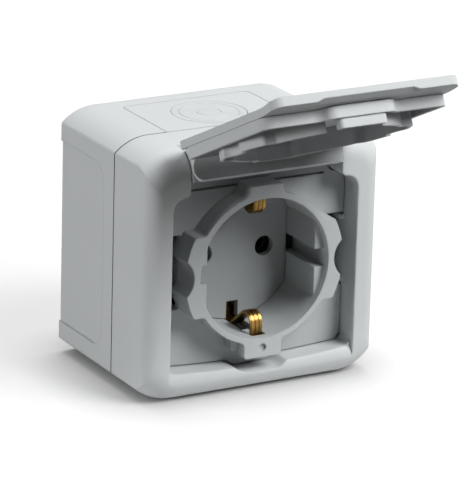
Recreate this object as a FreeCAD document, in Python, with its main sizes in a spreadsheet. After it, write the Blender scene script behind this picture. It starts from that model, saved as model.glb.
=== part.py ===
import FreeCAD, Part
import math
import os
import sys

import Sketcher
from FreeCAD import Placement, Rotation, Vector

# Surface-mounted weatherproof socket outlet with a hinged lid, standing as it hangs on a wall.
# Millimetres. Origin at the centre of the wall face, +Z up, +X to the right seen from the front,
# and the front faces -Y. A depth is measured from the wall face towards the front.

# Driving sizes: sheet alias, value, what it is.
DRIVING_SIZES = [
    ("box_width", 70.7, "overall width"),
    ("box_height", 70.0, "overall height"),
    ("box_depth", 31.4, "wall face to the joint with the frame"),
    ("frame_depth", 20.6, "depth of the front frame"),
    ("seam_gap", 0.3, "joint between back box and frame"),
    ("corner_run", 9.7, "width of a corner curve"),
    ("corner_rise", 4.0, "height of a corner curve"),
    ("crease_round", 1.0, "round of the crease beside each corner curve"),
    ("box_wall", 2.0, "side walls of the back box"),
    ("back_wall", 2.2, "wall face thickness"),
    ("frame_wall", 2.4, "walls of the front frame"),
    ("front_round", 7.5, "round of the frame's top and bottom front edges"),
    ("side_round", 4.0, "round of the frame's side front edges"),
    ("panel_height", 52.0, "recessed side panel, height"),
    ("panel_margin", 5.8, "recessed side panel, distance from the joint"),
    ("panel_round", 5.5, "recessed side panel, corner"),
    ("panel_depth", 0.5, "recessed side panel, depth"),
    ("opening_width", 56.8, "lid recess in the frame, width"),
    ("opening_top", 23.0, "lid recess, top of its wide part"),
    ("opening_round", 3.8, "lid recess, upper corners"),
    ("sill_drop", 26.5, "sill below the socket's axis"),
    ("sill_round", 2.4, "sill corners"),
    ("sill_sag", 1.0, "how far the sill bows down"),
    ("sill_setback", 1.3, "front of the sill behind the side rails"),
    ("sill_merge", 2.7560, "start of the lower front round to where the rail below the sill meets it"),
    ("scoop_width", 8.4, "flat of the finger scoop"),
    ("scoop_ramp", 5.8, "run of each scoop ramp"),
    ("scoop_dip", 2.6, "finger scoop below the sill"),
    ("neck_width", 46.4, "hinge neck of the recess, width"),
    ("neck_round", 1.5, "corner between recess and neck"),
    ("lip_wall", 2.0, "wall round the recess"),
    ("recess_depth", 7.0, "front of the frame to the insert plate"),
    ("plate_thick", 2.0, "insert plate"),
    ("flange_thick", 2.0, "flange behind the insert plate"),
    ("fit_gap", 0.3, "clearance round pieces set into one another"),
    ("tube_gap", 0.8, "clearance round the well behind the plate"),
    ("gap_height", 20.8, "side gaps beside the collar, height"),
    ("plate_inner", 22.4, "side gaps, distance of their inner edge from the axis"),
    ("bar_rise", 1.9, "upper bar of the insert above the recess's wide part"),
    ("slot_height", 0.6, "slot under the upper bar"),
    ("slot_depth", 1.4, "depth of that slot"),
    ("mouth_radius", 19.75, "mouth of the well"),
    ("collar_radius", 21.4, "plain outside of the collar"),
    ("lobe_radius", 24.2, "outside of the side lobes"),
    ("lobe_height", 22.8, "side lobes, height"),
    ("lobe_blend", 1.5, "hollow corner of a side lobe"),
    ("lobe_corner", 0.9, "tip of a side lobe"),
    ("scallop_radius", 6.65, "hollow in a side lobe"),
    ("scallop_floor", 21.5, "scallop floor to the axis"),
    ("top_lobe_width", 10.0, "upper lobe, width"),
    ("top_lobe_reach", 23.5, "upper lobe, top above the axis"),
    ("top_blend", 2.5, "upper lobe, hollow corner"),
    ("top_corner", 0.6, "upper lobe, tip corner"),
    ("low_lobe_width", 11.4, "lower lobe, width"),
    ("low_lobe_reach", 25.2, "lower lobe, foot below the axis"),
    ("low_blend", 1.5, "lower lobe, hollow corner"),
    ("low_corner", 1.0, "lower lobe, tip corner"),
    ("step_width", 16.0, "step behind the lower lobe, width"),
    ("step_reach", 23.6, "step behind the lower lobe, foot below the axis"),
    ("step_height", 3.5, "step behind the lower lobe, height off the plate"),
    ("dimple_radius", 1.05, "gate dimple in the lower lobe"),
    ("dimple_drop", 22.4, "gate dimple below the axis"),
    ("well_depth", 17.5, "mouth to floor"),
    ("well_wall", 1.45, "wall of the well"),
    ("guide_flat", 16.6, "guide blocks' faces to the axis"),
    ("guide_groove", 5.2, "groove between the guide blocks"),
    ("guide_start", 2.2, "mouth to the guide blocks"),
    ("floor_thick", 2.0, "floor of the well"),
    ("floor_gap", 0.2, "joint round the floor"),
    ("pin_spacing", 19.0, "live pins, centre to centre"),
    ("pin_hole_radius", 2.8, "pin holes in the floor"),
    ("clip_slot_width", 4.4, "slots for the earth clips"),
    ("clip_slot_start", 2.6, "mouth to the slots"),
    ("notch_reach", 14.6, "floor notches, distance from the axis"),
    ("notch_width", 3.6, "floor notches, width"),
    ("strip_width", 3.6, "earth clip, width"),
    ("strip_thick", 0.8, "earth clip, thickness"),
    ("strip_reach", 20.5, "earth strap legs, distance from the axis"),
    ("clip_peak", 13.8, "earth clip crown, distance from the axis"),
    ("clip_front", 3.6, "mouth to the front leg of the clip"),
    ("clip_back", 15.5, "mouth to the foot of the clip's ramp"),
    ("clip_bend", 3.4, "bend at the clip's crown"),
    ("strap_side", 1.0, "earth strap to its terminal's screw head"),
    ("strap_setback", 2.4, "earth strap behind the base's face"),
    ("base_width", 42.0, "contact base, width"),
    ("base_height", 39.0, "contact base, height"),
    ("base_round", 9.0, "contact base, corners"),
    ("base_back", 12.0, "contact base, depth of its back face"),
    ("ear_reach", 28.6, "mounting ears, distance of their ends from the axis"),
    ("ear_height", 9.0, "mounting ears, height"),
    ("ear_thick", 3.0, "mounting ears, thickness"),
    ("ear_screw_reach", 25.0, "base screws, distance from the axis"),
    ("base_post_radius", 3.3, "posts that carry the base"),
    ("sleeve_radius", 3.3, "contact sleeve, outside"),
    ("sleeve_bore", 2.5, "contact sleeve, bore"),
    ("sleeve_sink", 3.0, "contact sleeve behind the floor"),
    ("sleeve_length", 11.0, "contact sleeve, length"),
    ("sleeve_slit", 0.9, "slit of the contact sleeve"),
    ("pocket_gap", 0.4, "clearance of the contacts in the base"),
    ("tail_thick", 0.8, "contact tail, thickness"),
    ("tail_width", 5.0, "contact tail, width"),
    ("terminal_width", 8.0, "terminal block, width"),
    ("terminal_height", 8.0, "terminal block, height"),
    ("terminal_depth", 9.0, "terminal block, depth"),
    ("terminal_reach", 9.6, "terminal blocks, distance from the axis"),
    ("wire_hole_radius", 1.7, "wire hole of a terminal"),
    ("clamp_screw_radius", 1.5, "terminal screw, thread"),
    ("clamp_head_radius", 2.4, "terminal screw, head"),
    ("clamp_head_height", 1.4, "terminal screw, height of head"),
    ("drive_slot_width", 0.8, "screw slot, width"),
    ("drive_slot_depth", 0.7, "screw slot, depth"),
    ("frame_screw_x", 23.5, "frame screws, sideways from the axis"),
    ("frame_screw_z", 18.6, "frame screws, up or down from the axis"),
    ("frame_screw_radius", 1.75, "frame screw, thread"),
    ("frame_head_radius", 3.1, "frame screw, head"),
    ("frame_head_height", 2.0, "frame screw, height of head"),
    ("frame_screw_length", 26.0, "frame screw, under the head"),
    ("frame_boss_radius", 4.4, "screw bosses of the frame"),
    ("pillar_radius", 3.8, "screw pillars of the back box"),
    ("base_screw_radius", 1.5, "base screw, thread"),
    ("base_head_radius", 2.7, "base screw, head"),
    ("base_head_height", 1.8, "base screw, height of head"),
    ("base_screw_length", 9.0, "base screw, under the head"),
    ("screw_gap", 0.15, "clearance of a screw in its through hole"),
    ("wall_hole_pitch", 50.0, "wall screw holes, centre to centre"),
    ("wall_hole_radius", 2.3, "wall screw holes"),
    ("washer_radius", 4.8, "wall hole seal, outside"),
    ("washer_thick", 1.2, "wall hole seal, thickness"),
    ("gasket_width", 0.9, "joint seal, width"),
    ("gasket_sink", 1.2, "joint seal, depth of its groove"),
    ("entry_width", 39.4, "cable entry plate, width"),
    ("entry_margin", 5.0, "cable entry plate, distance of its back edge from the wall"),
    ("entry_round", 1.6, "cable entry plate, back corners"),
    ("entry_line", 0.12, "joint round an entry plate"),
    ("entry_lip", 1.6, "inner lip of an entry plate, overlap"),
    ("entry_lip_thick", 1.4, "inner lip of an entry plate, thickness"),
    ("entry_setback", 12.25, "cable entry, axis behind the box's front"),
    ("entry_radius", 10.5, "cable entry, radius"),
    ("membrane_step", 8.5, "first ring of the entry membrane"),
    ("membrane_core", 3.55, "middle ring of the entry membrane"),
    ("membrane_web", 1.1, "thin web of the membrane"),
    ("ring_groove", 0.3, "width and depth of the membrane's rings"),
    ("hinge_setback", 3.5, "hinge axis behind the frame's front"),
    ("hinge_rise", 30.4, "hinge axis above the socket's axis"),
    ("open_angle", 115.7, "lid from closed to open, degrees"),
    ("pin_radius", 1.2, "hinge pin"),
    ("pin_run", 0.06, "hinge pin's running clearance in the lid"),
    ("barrel_radius", 3.9, "hinge barrel of the lid"),
    ("barrel_skin", 1.2, "wall of the cored barrel"),
    ("cheek_width", 2.1, "hinge cheeks of the barrel"),
    ("neck_play", 0.4, "side clearance of the barrel in the neck"),
    ("lid_width", 55.2, "lid, width"),
    ("lid_length", 54.0, "lid plate, length"),
    ("lid_thick", 2.2, "lid plate, thickness"),
    ("lid_proud", 2.6, "closed lid's face in front of the frame"),
    ("lid_start", 7.8, "hinge axis to the back edge of the lid plate"),
    ("lid_corner", 3.0, "front corners of the lid plate"),
    ("lip_run", 10.0, "curled front of the lid, length"),
    ("lip_lift", 1.3, "curled front of the lid, rise"),
    ("lip_edge", 2.5, "curled front of the lid, edge thickness"),
    ("grip_width", 36.0, "finger relief under the lip, width"),
    ("grip_ramp", 5.0, "run of each end of the finger relief"),
    ("grip_depth", 0.8, "finger relief, depth"),
    ("leaf_reach", 6.2, "edge of the drip leaf to the hinge axis"),
    ("hollow_behind", 2.03, "centre of the leaf's hollow behind the hinge axis"),
    ("hollow_below", 7.44, "centre of the leaf's hollow below the hinge axis"),
    ("leaf_edge", 0.9, "edge thickness of the drip leaf"),
    ("leaf_hollow", 3.8, "hollow of the drip leaf, radius"),
    ("leaf_corner", 4.0, "lower corners of the drip leaf"),
    ("skirt_height", 3.15, "lid skirt below the plate"),
    ("skirt_wall", 1.3, "lid skirt, thickness"),
    ("skirt_inset", 0.2, "lid skirt inside the edge of the plate"),
    ("tray_thick", 0.8, "inner frame's web against the plate"),
    ("skirt_start", 8.7, "hinge axis to the back of the skirt"),
    ("skirt_reach", 54.2, "hinge axis to the front of the skirt"),
    ("skirt_round", 3.2, "skirt corners"),
    ("bulge_reach", 57.4, "hinge axis to the bulge of the skirt"),
    ("bulge_width", 14.8, "front of the bulge"),
    ("bulge_ramp", 5.6, "run of each side of the bulge"),
    ("seal_height", 5.8, "lobed seal wall below the plate"),
    ("seal_wall", 0.9, "lobed seal wall, thickness"),
    ("seal_gap", 0.35, "seal wall to the collar"),
    ("seal_blend", 0.4, "hollow corners of the seal wall, outside"),
    ("claw_rise", 8.9, "claws in the side gaps, above and below the axis"),
    ("claw_height", 1.4, "claw, height"),
    ("claw_width", 1.3, "claw, width"),
    ("claw_length", 2.0, "claw in front of the flange"),
]

os.makedirs("parts", exist_ok=True)
doc = FreeCAD.newDocument("outdoor_socket")
sheet = doc.addObject("Spreadsheet::Sheet", "Sizes")
nodes = []


class Size:
    """A length with its present value and the sheet expression that drives it."""

    def __init__(self, value, text):
        self.value = float(value)
        self.text = text

    def __add__(self, other):
        other = as_size(other)
        return Size(self.value + other.value, f"({self.text} + {other.text})")

    def __radd__(self, other):
        return as_size(other) + self

    def __sub__(self, other):
        other = as_size(other)
        return Size(self.value - other.value, f"({self.text} - {other.text})")

    def __rsub__(self, other):
        return as_size(other) - self

    def __mul__(self, other):
        other = as_size(other)
        return Size(self.value * other.value, f"({self.text} * {other.text})")

    def __rmul__(self, other):
        return as_size(other) * self

    def __truediv__(self, other):
        other = as_size(other)
        return Size(self.value / other.value, f"({self.text} / {other.text})")

    def __neg__(self):
        return Size(-self.value, f"(0 - {self.text})")


def as_size(item):
    """A plain number as a Size, and a Size as it is."""
    if isinstance(item, Size):
        return item
    return Size(item, f"({float(item):.6f})")


def root(size):
    """Square root of a size."""
    return Size(math.sqrt(size.value), f"sqrt({size.text})")


def square(size):
    """A size times itself."""
    return size * size


class Sheet:
    """The driving sizes by name, as filled into the spreadsheet."""

    def __init__(self, rows):
        for row, (alias, value, words) in enumerate(rows, start=1):
            sheet.set(f"A{row}", words)
            sheet.set(f"B{row}", str(value))
            sheet.setAlias(f"B{row}", alias)
            setattr(self, alias, Size(value, f"Sizes.{alias}"))


s = Sheet(DRIVING_SIZES)
doc.recompute()

# Levels and half sizes that several pieces share.
HALF_WIDTH = s.box_width / 2
HALF_HEIGHT = s.box_height / 2
SEAM_DEPTH = s.box_depth
FRONT = SEAM_DEPTH + s.frame_depth
BOX_FRONT = SEAM_DEPTH - s.seam_gap / 2
FRAME_BACK = SEAM_DEPTH + s.seam_gap / 2
ENTRY_AXIS = BOX_FRONT - s.entry_setback
PLATE_FRONT = FRONT - s.recess_depth
PLATE_BACK = PLATE_FRONT - s.plate_thick
FLANGE_BACK = PLATE_BACK - s.flange_thick
FLOOR_FRONT = FRONT - s.well_depth
FLOOR_BACK = FLOOR_FRONT - s.floor_thick
CORNER_RADIUS = (square(s.corner_run) + square(s.corner_rise)) / (2 * s.corner_rise)
HALF_PINS = s.pin_spacing / 2
PASS = 1.0  # how far a cutting tool runs past the face that it opens


def bind(item, prop, size):
    """Drive one property by a size."""
    item.setExpression(prop, as_size(size).text)


def label(item, name):
    """Give a sub-part its own name and list it as a node."""
    item.Label = name
    nodes.append(item)
    return item


# Planes of sketches: their turn, and the axis and sense of their offset.
FRONT_PLANE = (Rotation(Vector(1, 0, 0), 90), "y", -1, "XZ_Plane")
SIDE_PLANE = (Rotation(Vector(1, 1, 1), 120), "x", 1, "YZ_Plane")
TOP_PLANE = (Rotation(), "z", 1, "XY_Plane")


def arc_centre(start, end, radius):
    """Centre of the short arc from start to end; a negative radius runs clockwise."""
    chord = end - start
    half = chord.Length / 2
    rise = math.sqrt(max(radius * radius - half * half, 0.0))
    left = Vector(-chord.y, chord.x, 0).normalize()
    return (start + end) * 0.5 + left * math.copysign(rise, radius)


def add_loop(sketch, loop):
    """Draw one closed outline whose vertices and radii are driven by sizes.

    Each vertex is (x, y) at the end of a line or (x, y, radius) at the end of an arc.
    """
    spots = [Vector(as_size(v[0]).value, as_size(v[1]).value, 0) for v in loop]
    edges = []
    for index, vertex in enumerate(loop):
        start, end = spots[index - 1], spots[index]
        if len(vertex) == 2:
            edge = sketch.addGeometry(Part.LineSegment(start, end), False)
            edges.append((edge, 1, 2))
            continue
        radius = as_size(vertex[2]).value
        centre = arc_centre(start, end, radius)
        circle = Part.Circle(centre, Vector(0, 0, 1), abs(radius))
        first, last = (start, end) if radius > 0 else (end, start)
        turns = [math.atan2(p.y - centre.y, p.x - centre.x) for p in (first, last)]
        edge = sketch.addGeometry(Part.ArcOfCircle(circle, *turns), False)
        edges.append((edge, 1, 2) if radius > 0 else (edge, 2, 1))
        rule = sketch.addConstraint(Sketcher.Constraint("Radius", edge, abs(radius)))
        size = as_size(vertex[2])
        bind(sketch, f"Constraints[{rule}]", size if radius > 0 else -size)
    for index, (edge, _, tip) in enumerate(edges):
        follower, start, _ = edges[(index + 1) % len(edges)]
        sketch.addConstraint(Sketcher.Constraint("Coincident", edge, tip, follower, start))
        for kind, size in (("DistanceX", loop[index][0]), ("DistanceY", loop[index][1])):
            size = as_size(size)
            rule = sketch.addConstraint(Sketcher.Constraint(kind, -1, 1, edge, tip, size.value))
            bind(sketch, f"Constraints[{rule}]", size)


def add_circle(sketch, x, y, radius):
    """Draw a circle whose centre and radius are driven by sizes."""
    x, y, radius = as_size(x), as_size(y), as_size(radius)
    circle = Part.Circle(Vector(x.value, y.value, 0), Vector(0, 0, 1), radius.value)
    edge = sketch.addGeometry(circle, False)
    for rule, size in (
        (Sketcher.Constraint("DistanceX", -1, 1, edge, 3, x.value), x),
        (Sketcher.Constraint("DistanceY", -1, 1, edge, 3, y.value), y),
        (Sketcher.Constraint("Radius", edge, radius.value), radius),
    ):
        bind(sketch, f"Constraints[{sketch.addConstraint(rule)}]", size)


def draw(sketch, outlines):
    """Draw every outline: a list of vertices, or a circle as (x, y, radius)."""
    for outline in outlines:
        if isinstance(outline, tuple):
            add_circle(sketch, *outline)
        else:
            add_loop(sketch, outline)


def slab(name, plane, start, length, *outlines, both=False):
    """A straight extrusion of outlines on a plane that stands at the offset start."""
    turn, axis, sense, _ = plane
    sketch = doc.addObject("Sketcher::SketchObject", name + "_sketch")
    sketch.Placement = Placement(Vector(), turn)
    bind(sketch, f"Placement.Base.{axis}", as_size(start) * sense)
    draw(sketch, outlines)
    solid = doc.addObject("Part::Extrusion", name)
    solid.Base = sketch
    solid.DirMode = "Normal"
    solid.Solid = True
    solid.Symmetric = both
    bind(solid, "LengthFwd", length)
    return solid


def block(name, x0, x1, depth0, depth1, z0, z1):
    """A box between two sideways, depth and height levels."""
    box = doc.addObject("Part::Box", name)
    x0, x1, depth0, depth1, z0, z1 = (as_size(v) for v in (x0, x1, depth0, depth1, z0, z1))
    bind(box, "Length", x1 - x0)
    bind(box, "Width", depth1 - depth0)
    bind(box, "Height", z1 - z0)
    bind(box, "Placement.Base.x", x0)
    bind(box, "Placement.Base.y", -depth1)
    bind(box, "Placement.Base.z", z0)
    return box


def rod(name, x, z, depth0, depth1, radius):
    """A cylinder along the depth."""
    part = doc.addObject("Part::Cylinder", name)
    part.Placement = Placement(Vector(), Rotation(Vector(1, 0, 0), 90))
    bind(part, "Radius", radius)
    bind(part, "Height", as_size(depth1) - depth0)
    bind(part, "Placement.Base.x", x)
    bind(part, "Placement.Base.y", -as_size(depth0))
    bind(part, "Placement.Base.z", z)
    return part


def post(name, x, depth, z0, z1, radius):
    """A cylinder along the height."""
    part = doc.addObject("Part::Cylinder", name)
    bind(part, "Radius", radius)
    bind(part, "Height", as_size(z1) - z0)
    bind(part, "Placement.Base.x", x)
    bind(part, "Placement.Base.y", -as_size(depth))
    bind(part, "Placement.Base.z", z0)
    return part


def axle(name, depth, z, x0, x1, radius):
    """A cylinder along the width."""
    part = doc.addObject("Part::Cylinder", name)
    part.Placement = Placement(Vector(), Rotation(Vector(0, 1, 0), 90))
    bind(part, "Radius", radius)
    bind(part, "Height", as_size(x1) - x0)
    bind(part, "Placement.Base.x", x0)
    bind(part, "Placement.Base.y", -as_size(depth))
    bind(part, "Placement.Base.z", z)
    return part


def fuse(name, *items):
    """One solid of several that meet."""
    result = doc.addObject("Part::MultiFuse", name)
    result.Shapes = list(items)
    result.Refine = True
    return result


def common(name, *items):
    """What several solids share."""
    result = doc.addObject("Part::MultiCommon", name)
    result.Shapes = list(items)
    result.Refine = True
    return result


def cut(name, base, *tools):
    """A solid less its tools."""
    tool = tools[0] if len(tools) == 1 else fuse(name + "_tools", *tools)
    result = doc.addObject("Part::Cut", name)
    result.Base = base
    result.Tool = tool
    result.Refine = True
    return result


def mirrored(name, source):
    """The same piece on the other side of the middle plane."""
    result = doc.addObject("Part::Mirroring", name)
    result.Source = source
    result.Normal = Vector(1, 0, 0)
    return result


def group(name, *items):
    """Loose copies of one fastener under one name."""
    result = doc.addObject("Part::Compound", name)
    result.Links = list(items)
    return label(result, name)


def rounded(name, solid, chosen, radius):
    """Round those edges of a solid whose two ends satisfy a test."""
    doc.recompute()
    body = doc.addObject("PartDesign::Body", name)
    body.BaseFeature = solid
    start = body.Group[0]
    doc.recompute()
    edges = [
        f"Edge{number}"
        for number, edge in enumerate(start.Shape.Edges, start=1)
        if chosen(edge.Vertexes[0].Point, edge.Vertexes[-1].Point)
    ]
    fillet = body.newObject("PartDesign::Fillet", name + "_fillet")
    fillet.Base = (start, edges)
    bind(fillet, "Radius", radius)
    body.Tip = fillet
    return body


# Outlines that more than one piece uses, as vertices seen from the front.


def body_outline(inset, spread=0):
    """Box outline: flat sides, and corner curves tangent to the top and bottom.

    A spread moves the sides outwards along the same corner curves.
    """
    side = HALF_WIDTH - inset + spread
    top = HALF_HEIGHT - inset
    start = HALF_WIDTH - s.corner_run
    radius = CORNER_RADIUS - inset
    reach = s.corner_run - inset + spread
    crease = HALF_HEIGHT - CORNER_RADIUS + root(square(radius) - square(reach))
    return [
        (side, -crease, radius),
        (side, crease),
        (start, top, radius),
        (-start, top),
        (-side, crease, radius),
        (-side, -crease),
        (-start, -top, radius),
        (start, -top),
    ]


def opening_outline(gap, top):
    """Lid recess with its hinge neck, narrowed by a gap."""
    side = s.opening_width / 2 - gap
    ceiling = s.opening_top - gap
    floor = -s.sill_drop + gap
    neck = s.neck_width / 2 - gap
    low = side - s.sill_round
    bow = (square(low) + square(s.sill_sag)) / (2 * s.sill_sag)
    upper = side - s.opening_round
    return [
        (side, floor + s.sill_round, s.sill_round),
        (side, ceiling - s.opening_round),
        (upper, ceiling, s.opening_round),
        (neck + s.neck_round, ceiling),
        (neck, ceiling + s.neck_round, -s.neck_round),
        (neck, top),
        (-neck, top),
        (-neck, ceiling + s.neck_round),
        (-neck - s.neck_round, ceiling, -s.neck_round),
        (-upper, ceiling),
        (-side, ceiling - s.opening_round, s.opening_round),
        (-side, floor + s.sill_round),
        (-low, floor, s.sill_round),
        (low, floor, bow),
    ]


def scoop_outline(gap):
    """Finger scoop in the sill: a flat between two S-shaped ramps."""
    level = -s.sill_drop - s.sill_sag / 2 + gap
    foot = -s.sill_drop - s.scoop_dip + gap
    drop = level - foot
    flat = s.scoop_width / 2 - gap
    half_run = s.scoop_ramp / 2
    middle = (level + foot) / 2
    ramp = (square(half_run) + square(drop / 2)) / drop
    outer = flat + s.scoop_ramp
    return [
        (outer, level, -ramp),
        (outer, 0),
        (-outer, 0),
        (-outer, level),
        (-flat - half_run, middle, -ramp),
        (-flat, foot, ramp),
        (flat, foot),
        (flat + half_run, middle, ramp),
    ]


def collar_outline(grow, blend_side, blend_top, blend_low):
    """Lobed outside of the collar, larger by grow all round."""
    ring = s.collar_radius + grow
    lobe = s.lobe_radius + grow
    rise = s.lobe_height / 2 + grow
    hollow = s.scallop_radius - grow
    hollow_x = s.scallop_floor + s.scallop_radius
    tip_x = (square(lobe) - square(hollow) + square(hollow_x)) / (2 * hollow_x)
    tip_z = root(square(lobe) - square(tip_x))
    corner_x = root(square(lobe - s.lobe_corner) - square(rise - s.lobe_corner))
    corner_on = lobe / (lobe - s.lobe_corner)
    side_x = root(square(ring + blend_side) - square(rise + blend_side))
    side_on = ring / (ring + blend_side)
    top = s.top_lobe_width / 2 + grow
    crown = s.top_lobe_reach + grow
    top_z = root(square(ring + blend_top) - square(top + blend_top))
    top_on = ring / (ring + blend_top)
    low = s.low_lobe_width / 2 + grow
    foot = s.low_lobe_reach + grow
    low_z = root(square(ring + blend_low) - square(low + blend_low))
    low_on = ring / (ring + blend_low)
    right = [
        ((low + blend_low) * low_on, -low_z * low_on, -blend_low),
        (side_x * side_on, -(rise + blend_side) * side_on, ring),
        (side_x, -rise, -blend_side),
        (corner_x, -rise),
        (corner_x * corner_on, -(rise - s.lobe_corner) * corner_on, s.lobe_corner),
        (tip_x, -tip_z, lobe),
        (tip_x, tip_z, -hollow),
        (corner_x * corner_on, (rise - s.lobe_corner) * corner_on, lobe),
        (corner_x, rise, s.lobe_corner),
        (side_x, rise),
        (side_x * side_on, (rise + blend_side) * side_on, -blend_side),
        ((top + blend_top) * top_on, top_z * top_on, ring),
        (top, top_z, -blend_top),
        (top, crown - s.top_corner),
        (top - s.top_corner, crown, s.top_corner),
    ]
    left = [
        (-top + s.top_corner, crown),
        (-top, crown - s.top_corner, s.top_corner),
        (-top, top_z),
        (-(top + blend_top) * top_on, top_z * top_on, -blend_top),
        (-side_x * side_on, (rise + blend_side) * side_on, ring),
        (-side_x, rise, -blend_side),
        (-corner_x, rise),
        (-corner_x * corner_on, (rise - s.lobe_corner) * corner_on, s.lobe_corner),
        (-tip_x, tip_z, lobe),
        (-tip_x, -tip_z, -hollow),
        (-corner_x * corner_on, -(rise - s.lobe_corner) * corner_on, lobe),
        (-corner_x, -rise, s.lobe_corner),
        (-side_x, -rise),
        (-side_x * side_on, -(rise + blend_side) * side_on, -blend_side),
        (-(low + blend_low) * low_on, -low_z * low_on, ring),
        (-low, -low_z, -blend_low),
        (-low, -foot + s.low_corner),
        (-low + s.low_corner, -foot, s.low_corner),
        (low - s.low_corner, -foot),
        (low, -foot + s.low_corner, s.low_corner),
        (low, -low_z),
    ]
    return right + left


def rounded_box(x0, x1, y0, y1, radius):
    """Rectangle with round corners, counter-clockwise."""
    return [
        (x1, y0 + radius, radius),
        (x1, y1 - radius),
        (x1 - radius, y1, radius),
        (x0 + radius, y1),
        (x0, y1 - radius, radius),
        (x0, y0 + radius),
        (x0 + radius, y0, radius),
        (x1 - radius, y0),
    ]


def frame_screw_spots():
    """Opposite corners where the frame is screwed to the back box."""
    return [(-s.frame_screw_x, -s.frame_screw_z), (s.frame_screw_x, s.frame_screw_z)]


def body_prism(name, start, length, inset, spread=0):
    """Prism of the box outline with its four side creases softened."""
    side = (HALF_WIDTH - inset + spread).value
    prism = slab(name + "_prism", FRONT_PLANE, start, length, body_outline(inset, spread))

    def is_crease(first, last):
        return abs(abs(first.x) - side) < 1e-6 and abs(first.y - last.y) > 1e-6

    return rounded(name + "_body", prism, is_crease, s.crease_round)


def back_box():
    """Wall box with screw pillars, base posts, wall holes and open cable entries."""
    shell = cut(
        "box_shell",
        body_prism("box_outer", 0, BOX_FRONT, 0),
        slab("box_cavity", FRONT_PLANE, s.back_wall, BOX_FRONT, body_outline(s.box_wall)),
    )
    foot = s.back_wall / 2
    pillars = []
    for index, (x, z) in enumerate(frame_screw_spots()):
        pillars.append(rod(f"pillar_{index}", x, z, foot, BOX_FRONT, s.pillar_radius))
        side = -1 if x.value < 0 else 1
        reach = (HALF_WIDTH - s.box_wall / 2) * side
        rib = sorted((x, reach), key=lambda size: size.value)
        half_rib = s.box_wall / 4
        rib_front = BOX_FRONT - s.gasket_sink * 2
        pillars.append(block(f"pillar_rib_{index}", *rib, foot, rib_front, z - half_rib, z + half_rib))
    posts = [
        rod(f"base_post_{side}", s.ear_screw_reach * side, 0, foot, s.base_back, s.base_post_radius)
        for side in (-1, 1)
    ]
    solid = fuse("box_solid", shell, *pillars, *posts)
    panel_front = BOX_FRONT - s.panel_margin
    half_panel = s.panel_height / 2
    panel = slab(
        "panel_tool", SIDE_PLANE, HALF_WIDTH - s.panel_depth, s.panel_depth + PASS,
        [
            (PASS, half_panel),
            (-panel_front + s.panel_round, half_panel),
            (-panel_front, half_panel - s.panel_round, s.panel_round),
            (-panel_front, -half_panel + s.panel_round),
            (-panel_front + s.panel_round, -half_panel, s.panel_round),
            (PASS, -half_panel),
        ],
    )
    tools = [panel, mirrored("panel_tool_left", panel)]
    for side in (-1, 1):
        bottom = HALF_HEIGHT - s.box_wall - PASS if side > 0 else -HALF_HEIGHT - PASS
        tools.append(slab(
            f"entry_opening_{side}", TOP_PLANE, bottom, s.box_wall + PASS * 2,
            entry_outline(0, s.entry_margin, BOX_FRONT + PASS),
        ))
        z = s.wall_hole_pitch / 2 * side
        tools.append(rod(f"wall_hole_{side}", 0, z, -PASS, s.back_wall + PASS, s.wall_hole_radius))
        x = s.ear_screw_reach * side
        pilot_end = s.base_back + s.ear_thick - s.base_screw_length - s.screw_gap
        tools.append(rod(f"base_pilot_{side}", x, 0, pilot_end, s.base_back + PASS, base_thread_hole()))
    for index, (x, z) in enumerate(frame_screw_spots()):
        pilot_end = FLANGE_BACK - s.frame_screw_length - s.screw_gap
        tools.append(rod(f"frame_pilot_{index}", x, z, pilot_end, BOX_FRONT + PASS, frame_thread_hole()))
    label(cut("box_cut", solid, *tools), "back_box")


def base_thread_hole():
    """Hole that a base screw is driven into."""
    return s.base_screw_radius + s.screw_gap / 3


def frame_thread_hole():
    """Hole that a frame screw is driven into."""
    return s.frame_screw_radius + s.screw_gap / 3


def entry_outline(inset, depth0, depth1):
    """Cable entry from above: round corners at the back and square at the joint."""
    side = s.entry_width / 2 - inset
    return [
        (side, -depth1),
        (side, -depth0 - s.entry_round),
        (side - s.entry_round, -as_size(depth0), s.entry_round),
        (-side + s.entry_round, -as_size(depth0)),
        (-side, -depth0 - s.entry_round, s.entry_round),
        (-side, -depth1),
    ]


def entry_plate(name, side, open_entry):
    """Snap-in plate of a cable entry, with a lip inside the box wall."""
    wall_inner = HALF_HEIGHT - s.box_wall
    lip_level = wall_inner - s.entry_lip_thick
    levels = (wall_inner, lip_level) if side > 0 else (-HALF_HEIGHT, -wall_inner)
    plate = slab(
        name + "_plate", TOP_PLANE, levels[0], s.box_wall,
        entry_outline(s.entry_line, s.entry_margin + s.entry_line, BOX_FRONT - s.entry_line),
    )
    lip = slab(
        name + "_lip", TOP_PLANE, levels[1], s.entry_lip_thick,
        entry_outline(-s.entry_lip, s.entry_margin - s.entry_lip, BOX_FRONT - s.entry_line),
    )
    solid = fuse(name + "_solid", plate, lip)
    if open_entry:
        hole = post(
            name + "_hole", 0, ENTRY_AXIS, lip_level - PASS, HALF_HEIGHT + PASS, s.entry_radius
        )
        solid = cut(name + "_cut", solid, hole)
    label(solid, name)


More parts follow.
